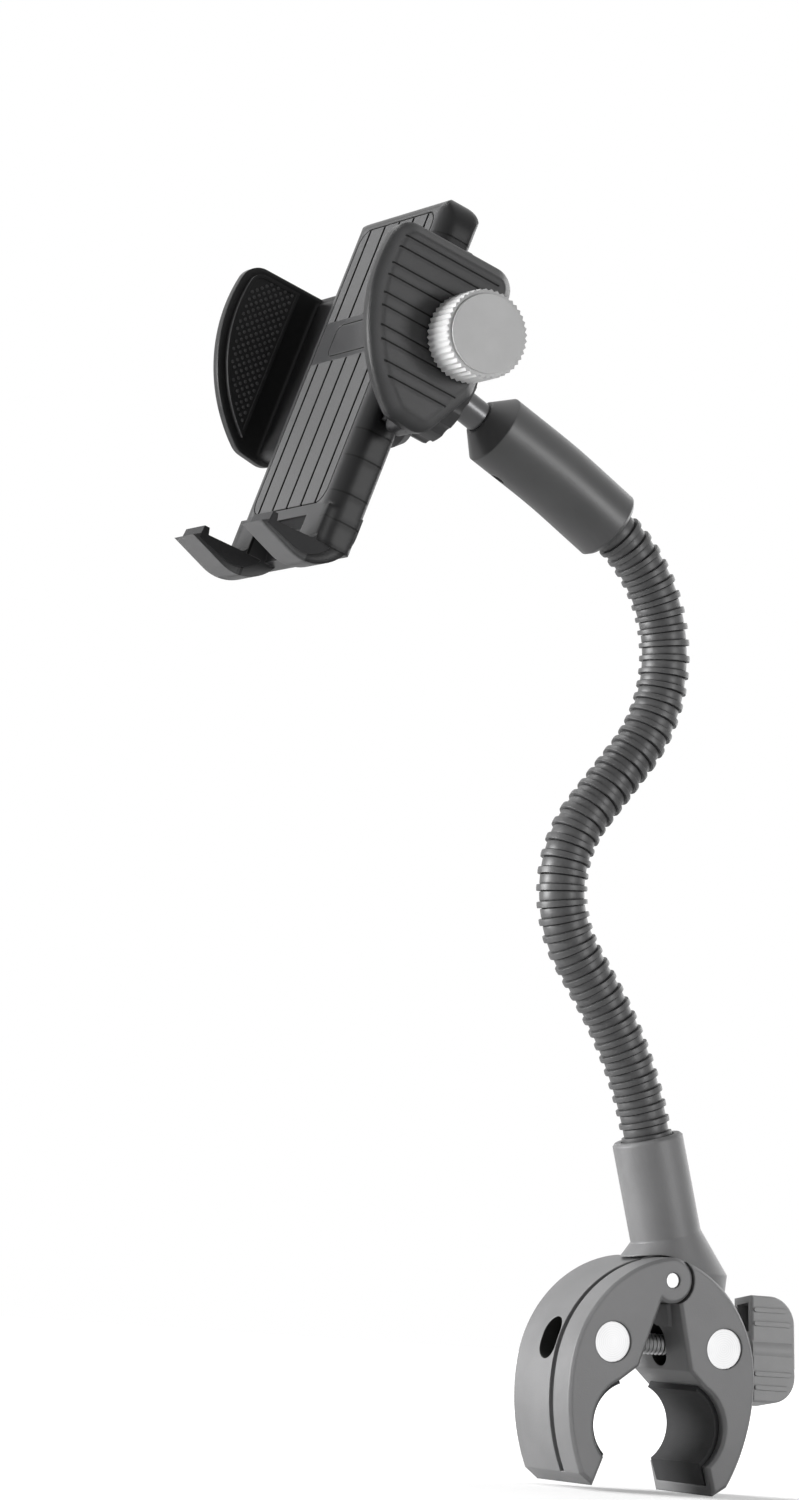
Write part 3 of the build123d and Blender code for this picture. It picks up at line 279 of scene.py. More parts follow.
# The tunnels that the clamp screw swings in are painted near black as shade: everything nearer than their
# half width to a short upright line through the screw's axis.
screw_low, screw_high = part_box("clamp_screw")
screw_axis_z = (screw_low.z + screw_high.z) / 2
tunnel_half, tunnel_core = 3.6 * MM, 1.2 * MM
tunnel_shade_skin, tunnel_shade_fade = 0.04 * MM, 0.1 * MM
tunnel_shade_colour, tunnel_shade_roughness = (0.022, 0.022, 0.021), 0.5
cast_tree = cast_grey.node_tree
_, beside_screw, level = surface_axes(cast_tree)
above = math_node(cast_tree, "ABSOLUTE", math_node(cast_tree, "SUBTRACT", level, screw_axis_z))
above = math_node(cast_tree, "MAXIMUM", math_node(cast_tree, "SUBTRACT", above, tunnel_core), 0.0)
from_line = length_of(cast_tree, beside_screw, above)
outside = ramp(cast_tree, from_line, tunnel_half + tunnel_shade_skin, tunnel_half + tunnel_shade_fade)
# Painted shade: near black inside the screw's tunnels.
repaint(cast_grey, complement(cast_tree, outside), tunnel_shade_colour, tunnel_shade_roughness)
dress(cast_grey, "fixed_jaw", "moving_jaw")

# Jaw linings: two moulded pads of black rubber that grip the pipe, dull and slightly dusty.
# They are let into recesses in the jaws' saddles.
lining_rubber = grained(
    "lining_rubber", colour=(0.034, 0.034, 0.035), dark=(0.028, 0.028, 0.029), roughness=0.66,
    grains=3400.0, clouds=140.0, bump=0.35, edge_colour=(0.07, 0.07, 0.07), edge_radius=0.3 * MM, gloss=0.15,
)
dress(lining_rubber, "fixed_jaw_pad", "moving_jaw_pad")

# Hinge pin and the two cross barrels: turned steel, the pin plain. The barrels' faced ends are bright;
# their round sides, seen only down the holes that they turn in, are painted near black as shade.
steel_look = dict(
    colour=(0.47, 0.47, 0.473), dark=(0.42, 0.42, 0.423), grains=5200.0, clouds=220.0, bump=0.10,
    edge_colour=(0.60, 0.60, 0.60), metallic=1.0,
)
turned_steel = grained("turned_bright_steel", roughness=0.44, edge_radius=0.3 * MM, **steel_look)
barrel_steel = grained("barrel_steel_hole_shade", roughness=0.48, edge_radius=0.2 * MM, **steel_look)
barrel_end, end_fade = 12.9 * MM, 0.1 * MM
hole_shade_colour, mark_colour = (0.03, 0.03, 0.029), (0.40, 0.40, 0.403)
mark_pitch = 0.5 * MM
barrel_tree = barrel_steel.node_tree
barrel_paint = shader_of(barrel_steel).inputs["Base Color"]
ahead, beside, level = surface_axes(barrel_tree)
from_middle = math_node(barrel_tree, "ABSOLUTE", beside)
faced = ramp(barrel_tree, from_middle, barrel_end - end_fade, barrel_end)
# Turning marks on the ends: a sine of the distance from the nearer barrel's axis.
to_axes = []
for barrel in ("barrel_bush", "barrel_nut"):
    barrel_low, barrel_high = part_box(barrel)
    barrel_x = (barrel_low.x + barrel_high.x) / 2
    to_axes.append(math_node(barrel_tree, "ABSOLUTE", math_node(barrel_tree, "SUBTRACT", ahead, barrel_x)))
nearer_axis = math_node(barrel_tree, "MINIMUM", *to_axes)
above = math_node(barrel_tree, "SUBTRACT", level, screw_axis_z)
from_axis = length_of(barrel_tree, nearer_axis, above)
mark = math_node(barrel_tree, "SINE", math_node(barrel_tree, "MULTIPLY", from_axis, 2 * math.pi / mark_pitch))
mark_share = ramp(barrel_tree, mark, -1.0, 1.0)
bright_end = mix_colour(barrel_tree, mark_share, mark_colour, barrel_paint.links[0].from_socket)
# Painted shade: the round sides are near black and not metallic; the faced ends keep the bright steel and its
# turning marks.
join(barrel_tree, mix_colour(barrel_tree, faced, hole_shade_colour, bright_end), barrel_paint)
join(barrel_tree, faced, shader_of(barrel_steel).inputs["Metallic"])
dress(turned_steel, "hinge_pin")
dress(barrel_steel, "barrel_bush", "barrel_nut")

# Clamp screw: a steel stud with a rolled thread, running from the nut barrel to the wing's hub.
# The CAD solid is plain, so this piece has its form with the thread added.


def ring_mesh(name, rings):
    """Closed tubes from rings of points, in metres: quads between neighbouring rings, a fan at each end.
    rings is an array of tubes by stations by points round by 3, which turn anticlockwise seen from
    the far end."""
    tubes, stations, around, _ = rings.shape
    ends = rings[:, [0, -1]].mean(axis=2)
    points = np.concatenate([rings.reshape(tubes, -1, 3), ends], axis=1).reshape(-1, 3)
    index = np.arange(stations * around).reshape(stations, around)
    nearer, further = index[:-1], index[1:]
    quads = np.stack([nearer, np.roll(nearer, -1, 1), np.roll(further, -1, 1), further], axis=-1)
    first, last = index[0], index[-1]
    start, end = stations * around, stations * around + 1
    fans = np.concatenate([
        np.stack([np.roll(first, -1), first, np.full(around, start)], axis=-1),
        np.stack([last, np.roll(last, -1), np.full(around, end)], axis=-1),
    ])
    shift = np.arange(tubes)[:, None, None] * (stations * around + 2)
    quads = (quads.reshape(-1, 4) + shift).reshape(-1, 4)
    fans = (fans + shift).reshape(-1, 3)
    mesh = bpy.data.meshes.new(name)
    mesh.from_pydata(points.tolist(), [], quads.tolist() + fans.tolist())
    mesh.validate()
    mesh.update()
    mesh.polygons.foreach_set("use_smooth", np.ones(len(mesh.polygons), dtype=bool))
    piece = bpy.data.objects.new(name, mesh)
    bpy.context.scene.collection.objects.link(piece)
    return piece


def shade_by_angle(piece, degrees):
    """Marks edges sharper than this angle, so that flats stay flat and rounds stay smooth."""
    piece.data.set_sharp_from_angle(angle=math.radians(degrees))


screw_radius = 2.5 * MM
shoulder_radius, shoulder_at, shoulder_lip = 3.2 * MM, 12.45 * MM, 0.05 * MM
thread_pitch, thread_depth = 1.0 * MM, 0.42 * MM
runout_length, tail_length, tail_drop = 1.5 * MM, 0.6 * MM, 0.6 * MM


def screw_rings(steps_per_turn=8, around=36):
    """Rings along the screw. The radius is the crest less a triangle wave of (distance / pitch - turn),
    which is a single-start thread; it runs out at the tail's chamfer and before the plain shoulder."""
    length = shoulder_at - screw_low.x
    along = np.linspace(0.0, length, int(length / thread_pitch * steps_per_turn) + 1)
    turn = np.arange(around) / around
    phase = (along[:, None] / thread_pitch - turn[None, :]) % 1.0
    wave = np.abs(phase - 0.5) * 2.0
    runout = np.clip((length - along) / runout_length, 0.0, 1.0)[:, None]
    tail = np.clip(1.0 - along / tail_length, 0.0, 1.0)[:, None] * tail_drop
    radius = screw_radius - thread_depth * wave * runout - tail
    shoulder = np.full((3, around), shoulder_radius)
    radius = np.concatenate([radius, shoulder])
    along = np.concatenate([along, [length, length + shoulder_lip, screw_high.x - screw_low.x]])
    angle = 2 * np.pi * turn
    return np.stack([
        np.broadcast_to(screw_low.x + along[:, None], radius.shape),
        radius * np.cos(angle)[None, :],
        screw_axis_z + radius * np.sin(angle)[None, :],
    ], axis=-1)


threaded_screw = ring_mesh("threaded_screw", screw_rings()[None])
shade_by_angle(threaded_screw, degrees=35)
threaded_screw.data.materials.append(turned_steel)
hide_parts("clamp_screw")
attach(threaded_screw, "wing_body")

# Wing knob: a hollow dark grey moulding on the screw's end, turned by two fingers.
# Its faces have two raised ribs at each end for grip.
wing_plastic = grained(
    "wing_plastic", colour=(0.29, 0.29, 0.292), dark=(0.265, 0.265, 0.267), roughness=0.42,
    grains=2400.0, clouds=120.0, bump=0.22, edge_colour=(0.36, 0.36, 0.36), edge_radius=0.25 * MM,
)
dress(wing_plastic, "wing_knob")

# Neck: a strip-wound metal hose that bends and stays, in a dark grey coat. Each turn shows as a flat
# raised band with a crease under it that is painted black as shade. It is one hose; here it is two pieces
# that meet in a valley.
# Lengths are in millimetres. A bend is its radius, its turn in degrees and the straight run after it.
neck_top_of_post = np.array([-6.9, 65.7])
neck_lean = 16.5
neck_lead = 1.9
neck_bends = ((96.0, 20.0, 9.5), (28.5, -73.0, 17.3), (36.2, 94.0, 0.0))
neck_into_mouth = 1.5
neck_pitch = 3.4
band_radius, band_crown = 5.9, 0.06
valley_radius, valley_dip = 5.2, 0.05
crease_radius = 4.75
step_rise, step_sink = 0.1, 0.25


def neck_stations():
    """Distances along the neck where a bend starts or ends, and the heading from upright there in degrees.
    A bend's length is its radius times its turn; a straight run keeps its heading."""
    distance, heading = [-neck_into_mouth, neck_lead], [neck_lean, neck_lean]
    for radius, turn, run in neck_bends:
        distance.append(distance[-1] + radius * math.radians(abs(turn)))
        heading.append(heading[-1] + turn)
        if run:
            distance.append(distance[-1] + run)
            heading.append(heading[-1])
    distance.append(distance[-1] + neck_into_mouth)
    heading.append(heading[-1])
    return np.array(distance), np.array(heading)


neck_at, neck_heading = neck_stations()
neck_length = neck_at[-1] - neck_at[0]
neck_turns = round(neck_length / neck_pitch)
turn_length = neck_length / neck_turns


def neck_centre(distance, steps=6000):
    """Centre line in X and Z, and the heading in radians: the running sum of small steps along the heading,
    which changes evenly between the stations."""
    fine = np.linspace(neck_at[0], neck_at[-1], steps + 1)
    heading = np.radians(np.interp(fine, neck_at, neck_heading))
    step = fine[1] - fine[0]
    slope = np.stack([-np.sin(heading), np.cos(heading)], axis=-1)
    walk = np.concatenate([np.zeros((1, 2)), np.cumsum((slope[1:] + slope[:-1]) / 2 * step, axis=0)])
    start = neck_top_of_post + slope[0] * neck_at[0]
    x = np.interp(distance, fine, start[0] + walk[:, 0])
    z = np.interp(distance, fine, start[1] + walk[:, 1])
    return x, z, np.interp(distance, fine, heading)


# One turn of the hose, as shares of its length with the radius there: valley, crease, band, step, valley.
turn_share, turn_radius = np.array([
    (0.0, valley_radius), (0.20, valley_radius), (0.255, valley_radius - valley_dip),
    (0.285, crease_radius), (0.30, crease_radius),
    (0.325, band_radius - band_crown), (0.50, band_radius), (0.675, band_radius - band_crown),
    (0.70, valley_radius + step_rise), (0.715, valley_radius - step_sink),
    (0.75, valley_radius - valley_dip), (0.80, valley_radius),
]).T


def neck_rings(first_turn, last_turn, around=40):
    """Rings of the hose from one turn to another: the turn's profile repeated along the centre line,
    each ring square to the heading."""
    turns = np.arange(first_turn, last_turn)
    share = np.concatenate([(turns[:, None] + turn_share[None, :]).ravel(), [last_turn]])
    radius = np.concatenate([np.tile(turn_radius, len(turns)), [valley_radius]])
    x, z, heading = neck_centre(neck_at[0] + share * turn_length)
    angle = 2 * np.pi * np.arange(around) / around
    out = radius[:, None] * np.cos(angle)[None, :]
    side = radius[:, None] * np.sin(angle)[None, :]
    rings = np.stack([
        x[:, None] + out * np.cos(heading)[:, None],
        side,
        z[:, None] + out * np.sin(heading)[:, None],
    ], axis=-1) * MM
    return rings, np.repeat(radius, around)


def hose_piece(name, first_turn, last_turn):
    """A stretch of the hose as one mesh, with the ring height kept as a point attribute for its paint."""
    rings, radius = neck_rings(first_turn, last_turn)
    piece = ring_mesh(name, rings[None])
    height = np.concatenate([radius, radius[:1], radius[-1:]])
    attribute = piece.data.attributes.new("band_height", "FLOAT", "POINT")
    share = np.clip((height - crease_radius) / (band_radius - crease_radius), 0.0, 1.0)
    attribute.data.foreach_set("value", share.astype(np.float32))
    shade_by_angle(piece, degrees=40)
    return piece


hose_coat = grained(
    "coated_hose", colour=(0.085, 0.085, 0.086), dark=(0.07, 0.07, 0.071), roughness=0.44,
    grains=3000.0, clouds=110.0, bump=0.05, edge_colour=(0.15, 0.15, 0.15), edge_radius=0.15 * MM,
    metallic=0.25,
)
# Painted shade: the crease under each band is painted black.
crease_shade_black, crease_full, crease_end = (0.006, 0.006, 0.006), 0.02, 0.36
hose_tree = hose_coat.node_tree
band_height = hose_tree.nodes.new("ShaderNodeAttribute")
band_height.attribute_name = "band_height"
off_crease = ramp(hose_tree, band_height.outputs["Fac"], crease_full, crease_end)
hose_paint = shader_of(hose_coat).inputs["Base Color"]
join(hose_tree, mix_colour(hose_tree, off_crease, crease_shade_black, hose_paint.links[0].from_socket), hose_paint)

half_turn = neck_turns // 2
neck_low = hose_piece("neck_low", 0, half_turn)
neck_high = hose_piece("neck_high", half_turn, neck_turns)
for piece in (neck_low, neck_high):
    piece.data.materials.append(hose_coat)
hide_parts("gooseneck")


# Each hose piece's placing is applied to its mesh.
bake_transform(neck_low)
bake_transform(neck_high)

# Sleeve on the neck's upper end, bent a little, with a conical nose: turned and coated dark grey.
# A blackened grub screw underneath locks the ball stud, which is turned steel, left darker than the barrels.
sleeve_coat = grained(
    "coated_sleeve", colour=(0.07, 0.07, 0.071), dark=(0.06, 0.06, 0.061), roughness=0.42,
    grains=3200.0, clouds=60.0, bump=0.05, edge_colour=(0.19, 0.19, 0.19), edge_radius=0.4 * MM,
    metallic=0.2, gloss=0.5,
)
stud_steel = grained(
    "stud_steel", colour=(0.10, 0.10, 0.102), dark=(0.085, 0.085, 0.087), roughness=0.32,
    grains=3600.0, clouds=160.0, bump=0.08, edge_colour=(0.30, 0.30, 0.30), edge_radius=0.3 * MM,
    metallic=0.6, gloss=0.5,
)
dark_screw = grained(
    "blackened_screw", colour=(0.03, 0.03, 0.03), dark=(0.02, 0.02, 0.02), roughness=0.35,
    grains=4000.0, clouds=200.0, bump=0.1, edge_colour=(0.12, 0.12, 0.12), edge_radius=0.2 * MM, metallic=0.8,
)
dress(sleeve_coat, "neck_sleeve")
dress(stud_steel, "ball_stud")
dress(dark_screw, "sleeve_grub_screw")

# Ball socket and back cover: black moulded plastic, with a fluted collar that squeezes the ball.
# The cover closes the housing that the arms slide in, round the moulded gear between their racks.
socket_plastic = grained(
    "socket_plastic", colour=(0.04, 0.04, 0.041), dark=(0.03, 0.03, 0.031), roughness=0.42,
    grains=2400.0, clouds=110.0, bump=0.25, edge_colour=(0.09, 0.09, 0.09), edge_radius=0.4 * MM,
)
dress(socket_plastic, "ball_pad", "seat_ring", "socket_collar", "back_cover", "pinion")

# Four pan-head screws that hold the back cover: blackened steel, each with a cross recess.
# They have the CAD screws' form with the recess pressed in. Lengths are in millimetres from the plate's
# middle, across it, up it and out of its face.
plate_lean = math.radians(18.7)
plate_middle = np.array([-96.12, 0.0, 240.077])
cradle_across = np.array([0.0, -1.0, 0.0])
cradle_up = np.array([math.sin(plate_lean), 0.0, math.cos(plate_lean)])
cradle_out = np.array([-math.cos(plate_lean), 0.0, math.sin(plate_lean)])
cover_screw_places = np.array([(-11.0, -20.3), (11.0, -20.3), (-11.0, 20.3), (11.0, 20.3)])
tip_radius, shank_radius, head_radius = 0.6, 1.0, 1.9
shank_tip, tip_taper, head_under, head_top, head_round = -3.6, 0.4, -10.5, -11.9, 0.35
recess_reach, recess_half, recess_depth, recess_soft = 1.15, 0.24, 0.8, 0.06
head_rings = np.concatenate([[1.6, 1.3, 1.16, 1.14], np.linspace(1.0, 0.1, 7)])


def cradle_points(across, up, out):
    """Points of the cradle's own frame as world points in metres: the plate's middle plus each distance
    times its direction."""
    place = plate_middle + across[..., None] * cradle_across + up[..., None] * cradle_up
    return (place + out[..., None] * cradle_out) * MM


def cover_screw_rings(around=72):
    """Rings of a screw from its tip up over the head, closest round the recess. On the head's top the
    surface sinks where a point is within the recess's half width of either cross line, deepest at the
    middle."""
    radius = np.concatenate([[tip_radius, shank_radius, shank_radius, head_radius, head_radius], head_rings])
    level = np.full(len(radius), head_top)
    level[:-len(head_rings)] = shank_tip, shank_tip - tip_taper, head_under, head_under, head_top + head_round
    angle = -2 * np.pi * np.arange(around) / around
    x = radius[:, None] * np.cos(angle)[None, :]
    y = radius[:, None] * np.sin(angle)[None, :]
    from_cross = np.minimum(np.abs(x), np.abs(y))
    sunk = np.clip((recess_half + recess_soft - from_cross) / (2 * recess_soft), 0.0, 1.0)
    sunk = sunk * np.clip(1.0 - radius / recess_reach, 0.0, 1.0)[:, None] ** 0.5
    sunk = sunk * (level == head_top)[:, None]
    out = level[:, None] + recess_depth * sunk
    x = x[None] + cover_screw_places[:, 0, None, None]
    y = y[None] + cover_screw_places[:, 1, None, None]
    return cradle_points(x, y, np.broadcast_to(out[None], x.shape))


cover_screws = ring_mesh("cover_screws", cover_screw_rings())
shade_by_angle(cover_screws, degrees=30)
cover_screws.data.materials.append(dark_screw)
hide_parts("housing_screws")
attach(cover_screws, "cradle_body")

# Front plate: one grey moulding with its two hooked feet. The panels are spark-grained, the band across
# the middle is smooth, and the rounded sides are polished darker. The grooves and the thin lines on the sides
# are painted black as shade, and the strip along the rear is painted lighter as light on its chamfer.
place_group, place_in, place_out = new_group(
    "cradle_place", [("Vector", "vector")], [("Across", "value"), ("Up", "value"), ("Out", "value")],
)
from_plate = place_group.nodes.new("ShaderNodeVectorMath")
from_plate.operation = "SUBTRACT"
from_plate.inputs[1].default_value = tuple(plate_middle * MM)
join(place_group, place_in.outputs["Vector"], from_plate.inputs[0])
for label, direction in (("Across", cradle_across), ("Up", cradle_up), ("Out", cradle_out)):
    along = place_group.nodes.new("ShaderNodeVectorMath")
    along.operation = "DOT_PRODUCT"
    along.inputs[1].default_value = tuple(direction / MM)
    join(place_group, from_plate.outputs["Vector"], along.inputs[0])
    join(place_group, along.outputs["Value"], place_out.inputs[label])


def cradle_place(tree):
    """Distances across, up and out of the cradle's plate in millimetres, as sockets; across has no sign."""
    place = tree.nodes.new("ShaderNodeGroup")
    place.node_tree = place_group
    join(tree, surface_place(tree), place.inputs["Vector"])
    across = math_node(tree, "ABSOLUTE", place.outputs["Across"])
    return across, place.outputs["Up"], place.outputs["Out"]


def within(tree, value, low, high, soft):
    """A mask that is 1 between two limits of a value, with soft ends: one smooth step less another."""
    rise = ramp(tree, value, low - soft, low + soft)
    fall = ramp(tree, value, high - soft, high + soft)
    return math_node(tree, "SUBTRACT", rise, fall, clamp=True)


def near(tree, value, centre, half, soft):
    """A mask that is 1 within a half width of a centre."""
    away = math_node(tree, "ABSOLUTE", math_node(tree, "SUBTRACT", value, centre))
    return complement(tree, ramp(tree, away, half - soft, half + soft))


def both(tree, first, second):
    """The product of two masks, which is 1 only where both are."""
    return math_node(tree, "MULTIPLY", first, second)


# Where each finish of the plate lies, in millimetres across, up and out. Start and full are the ends of
# a smooth step, and the mask values are how softly the other limits end.
mask_soft, mask_fine = 0.05, 0.03
face_back, face_front = -0.1, 0.3
panel_half, panel_low, panel_high = 18.5, -43.8, 29.4
band_low, band_high = -5.3, 5.5
polish_start, polish_full = 19.2, 21.0
rear_full, rear_start = -8.5, -8.3
hook_start, hook_full = 0.3, 0.8
feet_full, feet_start = -50.0, -49.0
groove_half, groove_floor, groove_mouth = 18.9, -0.7, -0.12
side_lines_middle, side_lines_apart, side_lines_gap, side_line_half = -36.35, 7.65, 3.3, 0.2
top_line_up = 23.6
groove_shade_black = (0.006, 0.006, 0.006)
polish_radius = 2.2 * MM
plate_plastic = grained(
    "plate_plastic", colour=(0.038, 0.038, 0.039), dark=(0.032, 0.032, 0.033), roughness=0.34,
    grains=2600.0, clouds=90.0, bump=0.06, edge_colour=(0.10, 0.10, 0.10), edge_radius=0.4 * MM, gloss=0.18,
)
plate_tree = plate_plastic.node_tree
across, up, out = cradle_place(plate_tree)
on_face = within(plate_tree, out, face_back, face_front, mask_fine)
in_panel = both(plate_tree, near(plate_tree, across, 0.0, panel_half, mask_soft),
                within(plate_tree, up, panel_low, panel_high, mask_soft))
off_band = complement(plate_tree, within(plate_tree, up, band_low, band_high, mask_soft))
grained_panel = both(plate_tree, both(plate_tree, on_face, in_panel), off_band)
polished = ramp(plate_tree, across, polish_start, polish_full)
rear_lit_strip = complement(plate_tree, ramp(plate_tree, out, rear_full, rear_start))
hook_skin = both(plate_tree, ramp(plate_tree, out, hook_start, hook_full),
                 complement(plate_tree, ramp(plate_tree, up, feet_full, feet_start)))
groove = both(plate_tree, within(plate_tree, out, groove_floor, groove_mouth, mask_fine),
              near(plate_tree, across, 0.0, groove_half, mask_soft))
# Thin lines on the sides, painted black as the shade of grooves: two pairs, one above and one below a middle,
# and a single one near the top.
from_lines = math_node(plate_tree, "ABSOLUTE", math_node(plate_tree, "SUBTRACT", up, side_lines_middle))
from_pair = math_node(plate_tree, "ABSOLUTE", math_node(plate_tree, "SUBTRACT", from_lines, side_lines_apart))
pair_line = near(plate_tree, from_pair, side_lines_gap, side_line_half, mask_soft)
top_line = near(plate_tree, up, top_line_up, side_line_half, mask_soft)
side_line = both(plate_tree, math_node(plate_tree, "MAXIMUM", pair_line, top_line), polished)
repaint(plate_plastic, grained_panel, (0.066, 0.066, 0.067), roughness=0.52)
repaint(plate_plastic, polished, (0.014, 0.014, 0.0145), roughness=0.36)
# Painted light: the strip along the rear is lighter, as light falling on its chamfer.
repaint(plate_plastic, rear_lit_strip, (0.075, 0.075, 0.076), roughness=0.4)
repaint(plate_plastic, hook_skin, (0.062, 0.062, 0.063), roughness=0.38)
# Painted shade: the grooves and the side lines are black.
repaint(plate_plastic, groove, groove_shade_black)
repaint(plate_plastic, side_line, groove_shade_black)
# The sides' normal is rounded over a wider radius than the rest, and the spark grain is added to the panels.
# The Mix node's vector sockets are taken by number.
soft_sides = plate_tree.nodes.new("ShaderNodeGroup")
soft_sides.node_tree = edge_group
soft_sides.inputs["Radius"].default_value = polish_radius
plate_normal = shader_of(plate_plastic).inputs["Normal"]
first_vector, second_vector, mixed_vector = 4, 5, 1
side_normal = plate_tree.nodes.new("ShaderNodeMix")
side_normal.data_type = "VECTOR"
join(plate_tree, polished, side_normal.inputs["Factor"])
join(plate_tree, plate_normal.links[0].from_socket, side_normal.inputs[first_vector])
join(plate_tree, soft_sides.outputs["Normal"], side_normal.inputs[second_vector])
spark_noise = plate_tree.nodes.new("ShaderNodeTexNoise")
spark_noise.inputs["Scale"].default_value = 3200.0
spark_noise.inputs["Detail"].default_value = 2.0
join(plate_tree, surface_place(plate_tree), spark_noise.inputs["Vector"])
spark = plate_tree.nodes.new("ShaderNodeBump")
spark.inputs["Strength"].default_value = 0.6
spark.inputs["Distance"].default_value = 0.15 * MM
join(plate_tree, both(plate_tree, spark_noise.outputs["Fac"], grained_panel), spark.inputs["Height"])
join(plate_tree, side_normal.outputs[mixed_vector], spark.inputs["Normal"])
join(plate_tree, spark.outputs["Normal"], plate_normal)
dress(plate_plastic, "front_plate")

# Rubber in the two feet: moulded charcoal pads, dull, that stop the load from slipping.
# Each is pressed into the hollow of its hook.
foot_rubber = grained(
    "foot_rubber", colour=(0.026, 0.026, 0.027), dark=(0.02, 0.02, 0.021), roughness=0.62,
    grains=3400.0, clouds=140.0, bump=0.35, edge_colour=(0.08, 0.08, 0.08), edge_radius=0.3 * MM, gloss=0.2,
)
dress(foot_rubber, "left_foot_pad", "right_foot_pad")

# Arms: dark grey mouldings on geared racks, with pairs of thin grooves across their outer faces, painted
# black as shade.
# The inner sides, behind and round the pads, are painted near black as shade, fading out across the bevelled
# edge.
# Lengths are in millimetres.
arm_line_middle, arm_line_pitch, arm_line_gap, arm_lines_half = -3.3, 6.9, 2.8, 15.7
arm_line_half, arm_line_soft = 0.24, 0.04
arm_groove_floor, arm_groove_mouth = 41.5, 41.93
lines_start, lines_full = -10.9, -10.5
inner_full, inner_start = 39.2, 41.7
arm_plastic = grained(
    "arm_plastic", colour=(0.055, 0.055, 0.056), dark=(0.047, 0.047, 0.048), roughness=0.44,
    grains=2400.0, clouds=110.0, bump=0.22, edge_colour=(0.09, 0.09, 0.09), edge_radius=1.4 * MM, gloss=0.22,
)
arm_tree = arm_plastic.node_tree
across, up, out = cradle_place(arm_tree)
from_middle = math_node(arm_tree, "SUBTRACT", up, arm_line_middle)
from_pair = math_node(arm_tree, "PINGPONG", from_middle, arm_line_pitch / 2)
on_line = near(arm_tree, from_pair, arm_line_gap / 2, arm_line_half, arm_line_soft)
in_groove = within(arm_tree, across, arm_groove_floor, arm_groove_mouth, mask_fine)
groove_shade_mask = both(arm_tree, both(arm_tree, on_line, in_groove), ramp(arm_tree, out, lines_start, lines_full))
groove_shade_mask = both(arm_tree, groove_shade_mask, near(arm_tree, up, arm_line_middle, arm_lines_half, mask_soft))
inner_side_shade = complement(arm_tree, ramp(arm_tree, across, inner_full, inner_start))
# Painted shade: the grooves' lines are black, and the inner sides near black.
repaint(arm_plastic, groove_shade_mask, groove_shade_black)
repaint(arm_plastic, inner_side_shade, (0.014, 0.014, 0.0145), roughness=0.34)
dress(arm_plastic, "left_arm", "right_arm")

# Rubber pads on the arms' inner faces: black, with a raised border and a field of low staggered dots
# that are moulded with the pad and painted lighter all over as their highlight. The CAD pads stay; the dots
# stand on their floors.
pad_look = dict(grains=3400.0, clouds=140.0)
grip_rubber = grained(
    "grip_rubber", colour=(0.0125, 0.0125, 0.013), dark=(0.009, 0.009, 0.0095), roughness=0.48, bump=0.3,
    edge_colour=(0.05, 0.05, 0.05), edge_radius=0.2 * MM, gloss=0.3, **pad_look,
)
# Painted highlight: the dots are lighter than the pad.
dot_highlight_rubber = grained(
    "dots_painted_highlight", colour=(0.06, 0.06, 0.061), dark=(0.05, 0.05, 0.051), roughness=0.42, bump=0.1,
    edge_colour=(0.08, 0.08, 0.08), edge_radius=0.1 * MM, gloss=0.4, **pad_look,
)
dress(grip_rubber, "left_arm_pad", "right_arm_pad")
pad_floor = 35.8
dot_pitch, dot_radius, dot_height = 1.9, 0.42, 0.28
dot_margin, rear_margin = 3.0, 1.2
bow_points = np.array([(15.4, 16.3), (15.0, -7.0), (1.4, -25.6)])
pad_rear, pad_top, pad_corner = 2.2, 16.3, 5.0
dot_rows, dot_columns = np.arange(-40, 40), np.arange(-20, 40)


def dot_centres():
    """Places of the dots, out and up: a staggered grid, kept where it is a margin inside the arm's bowed edge
    (the circle through three points), its top, its rounded corner and the pad's rear border."""
    first, second, third = bow_points
    chords = np.array([second - first, third - first]) * 2.0
    bow = np.linalg.solve(chords, np.array([second @ second - first @ first, third @ third - first @ first]))
    reach = np.linalg.norm(first - bow)
    row, column = np.meshgrid(dot_rows, dot_columns, indexing="ij")
    out = (column + 0.5 * (row % 2)) * dot_pitch
    up = row * dot_pitch * 0.5
    inside = np.hypot(out - bow[0], up - bow[1]) < reach - dot_margin
    inside &= (up < pad_top - dot_margin) & (out > pad_rear + rear_margin)
    corner = np.array([first[0] - pad_corner, pad_top - pad_corner])
    past = (out > corner[0]) & (up > corner[1])
    inside &= ~past | (np.hypot(out - corner[0], up - corner[1]) < pad_corner - dot_margin)
    return out[inside], up[inside]


def dot_rings(side, around=8):
    """Rings of every dot on one arm, from just under the pad's floor to the crown: a low dome whose radius
    falls as its height grows."""
    radius = np.array([1.0, 1.0, 0.86, 0.55, 0.1]) * dot_radius
    height = np.array([-0.1, 0.08, 0.18, 0.25, dot_height])
    angle = side * 2 * np.pi * np.arange(around) / around
    out, up = dot_centres()
    out = out[:, None, None] + (radius[:, None] * np.cos(angle)[None, :])[None]
    up = up[:, None, None] + (radius[:, None] * np.sin(angle)[None, :])[None]
    across = np.broadcast_to((side * (pad_floor - height))[None, :, None], out.shape)
    return cradle_points(across, up, out)


for name, side, body in (("right_grip_dots", 1, "right_arm_body"), ("left_grip_dots", -1, "left_arm_body")):
    dots = ring_mesh(name, dot_rings(side))
    dots.data.materials.append(dot_highlight_rubber)
    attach(dots, body)

# Locking knob: light grey moulded plastic with a toothed rim, turned by the fingertips.
# It is pressed on a steel shaft that runs in the right arm.
knob_plastic = grained(
    "knob_plastic", colour=(0.50, 0.50, 0.50), dark=(0.46, 0.46, 0.46), roughness=0.44,
    grains=2600.0, clouds=120.0, bump=0.15, edge_colour=(0.58, 0.58, 0.58), edge_radius=0.3 * MM,
)
dress(knob_plastic, "lock_knob")
dress(turned_steel, "lock_shaft")

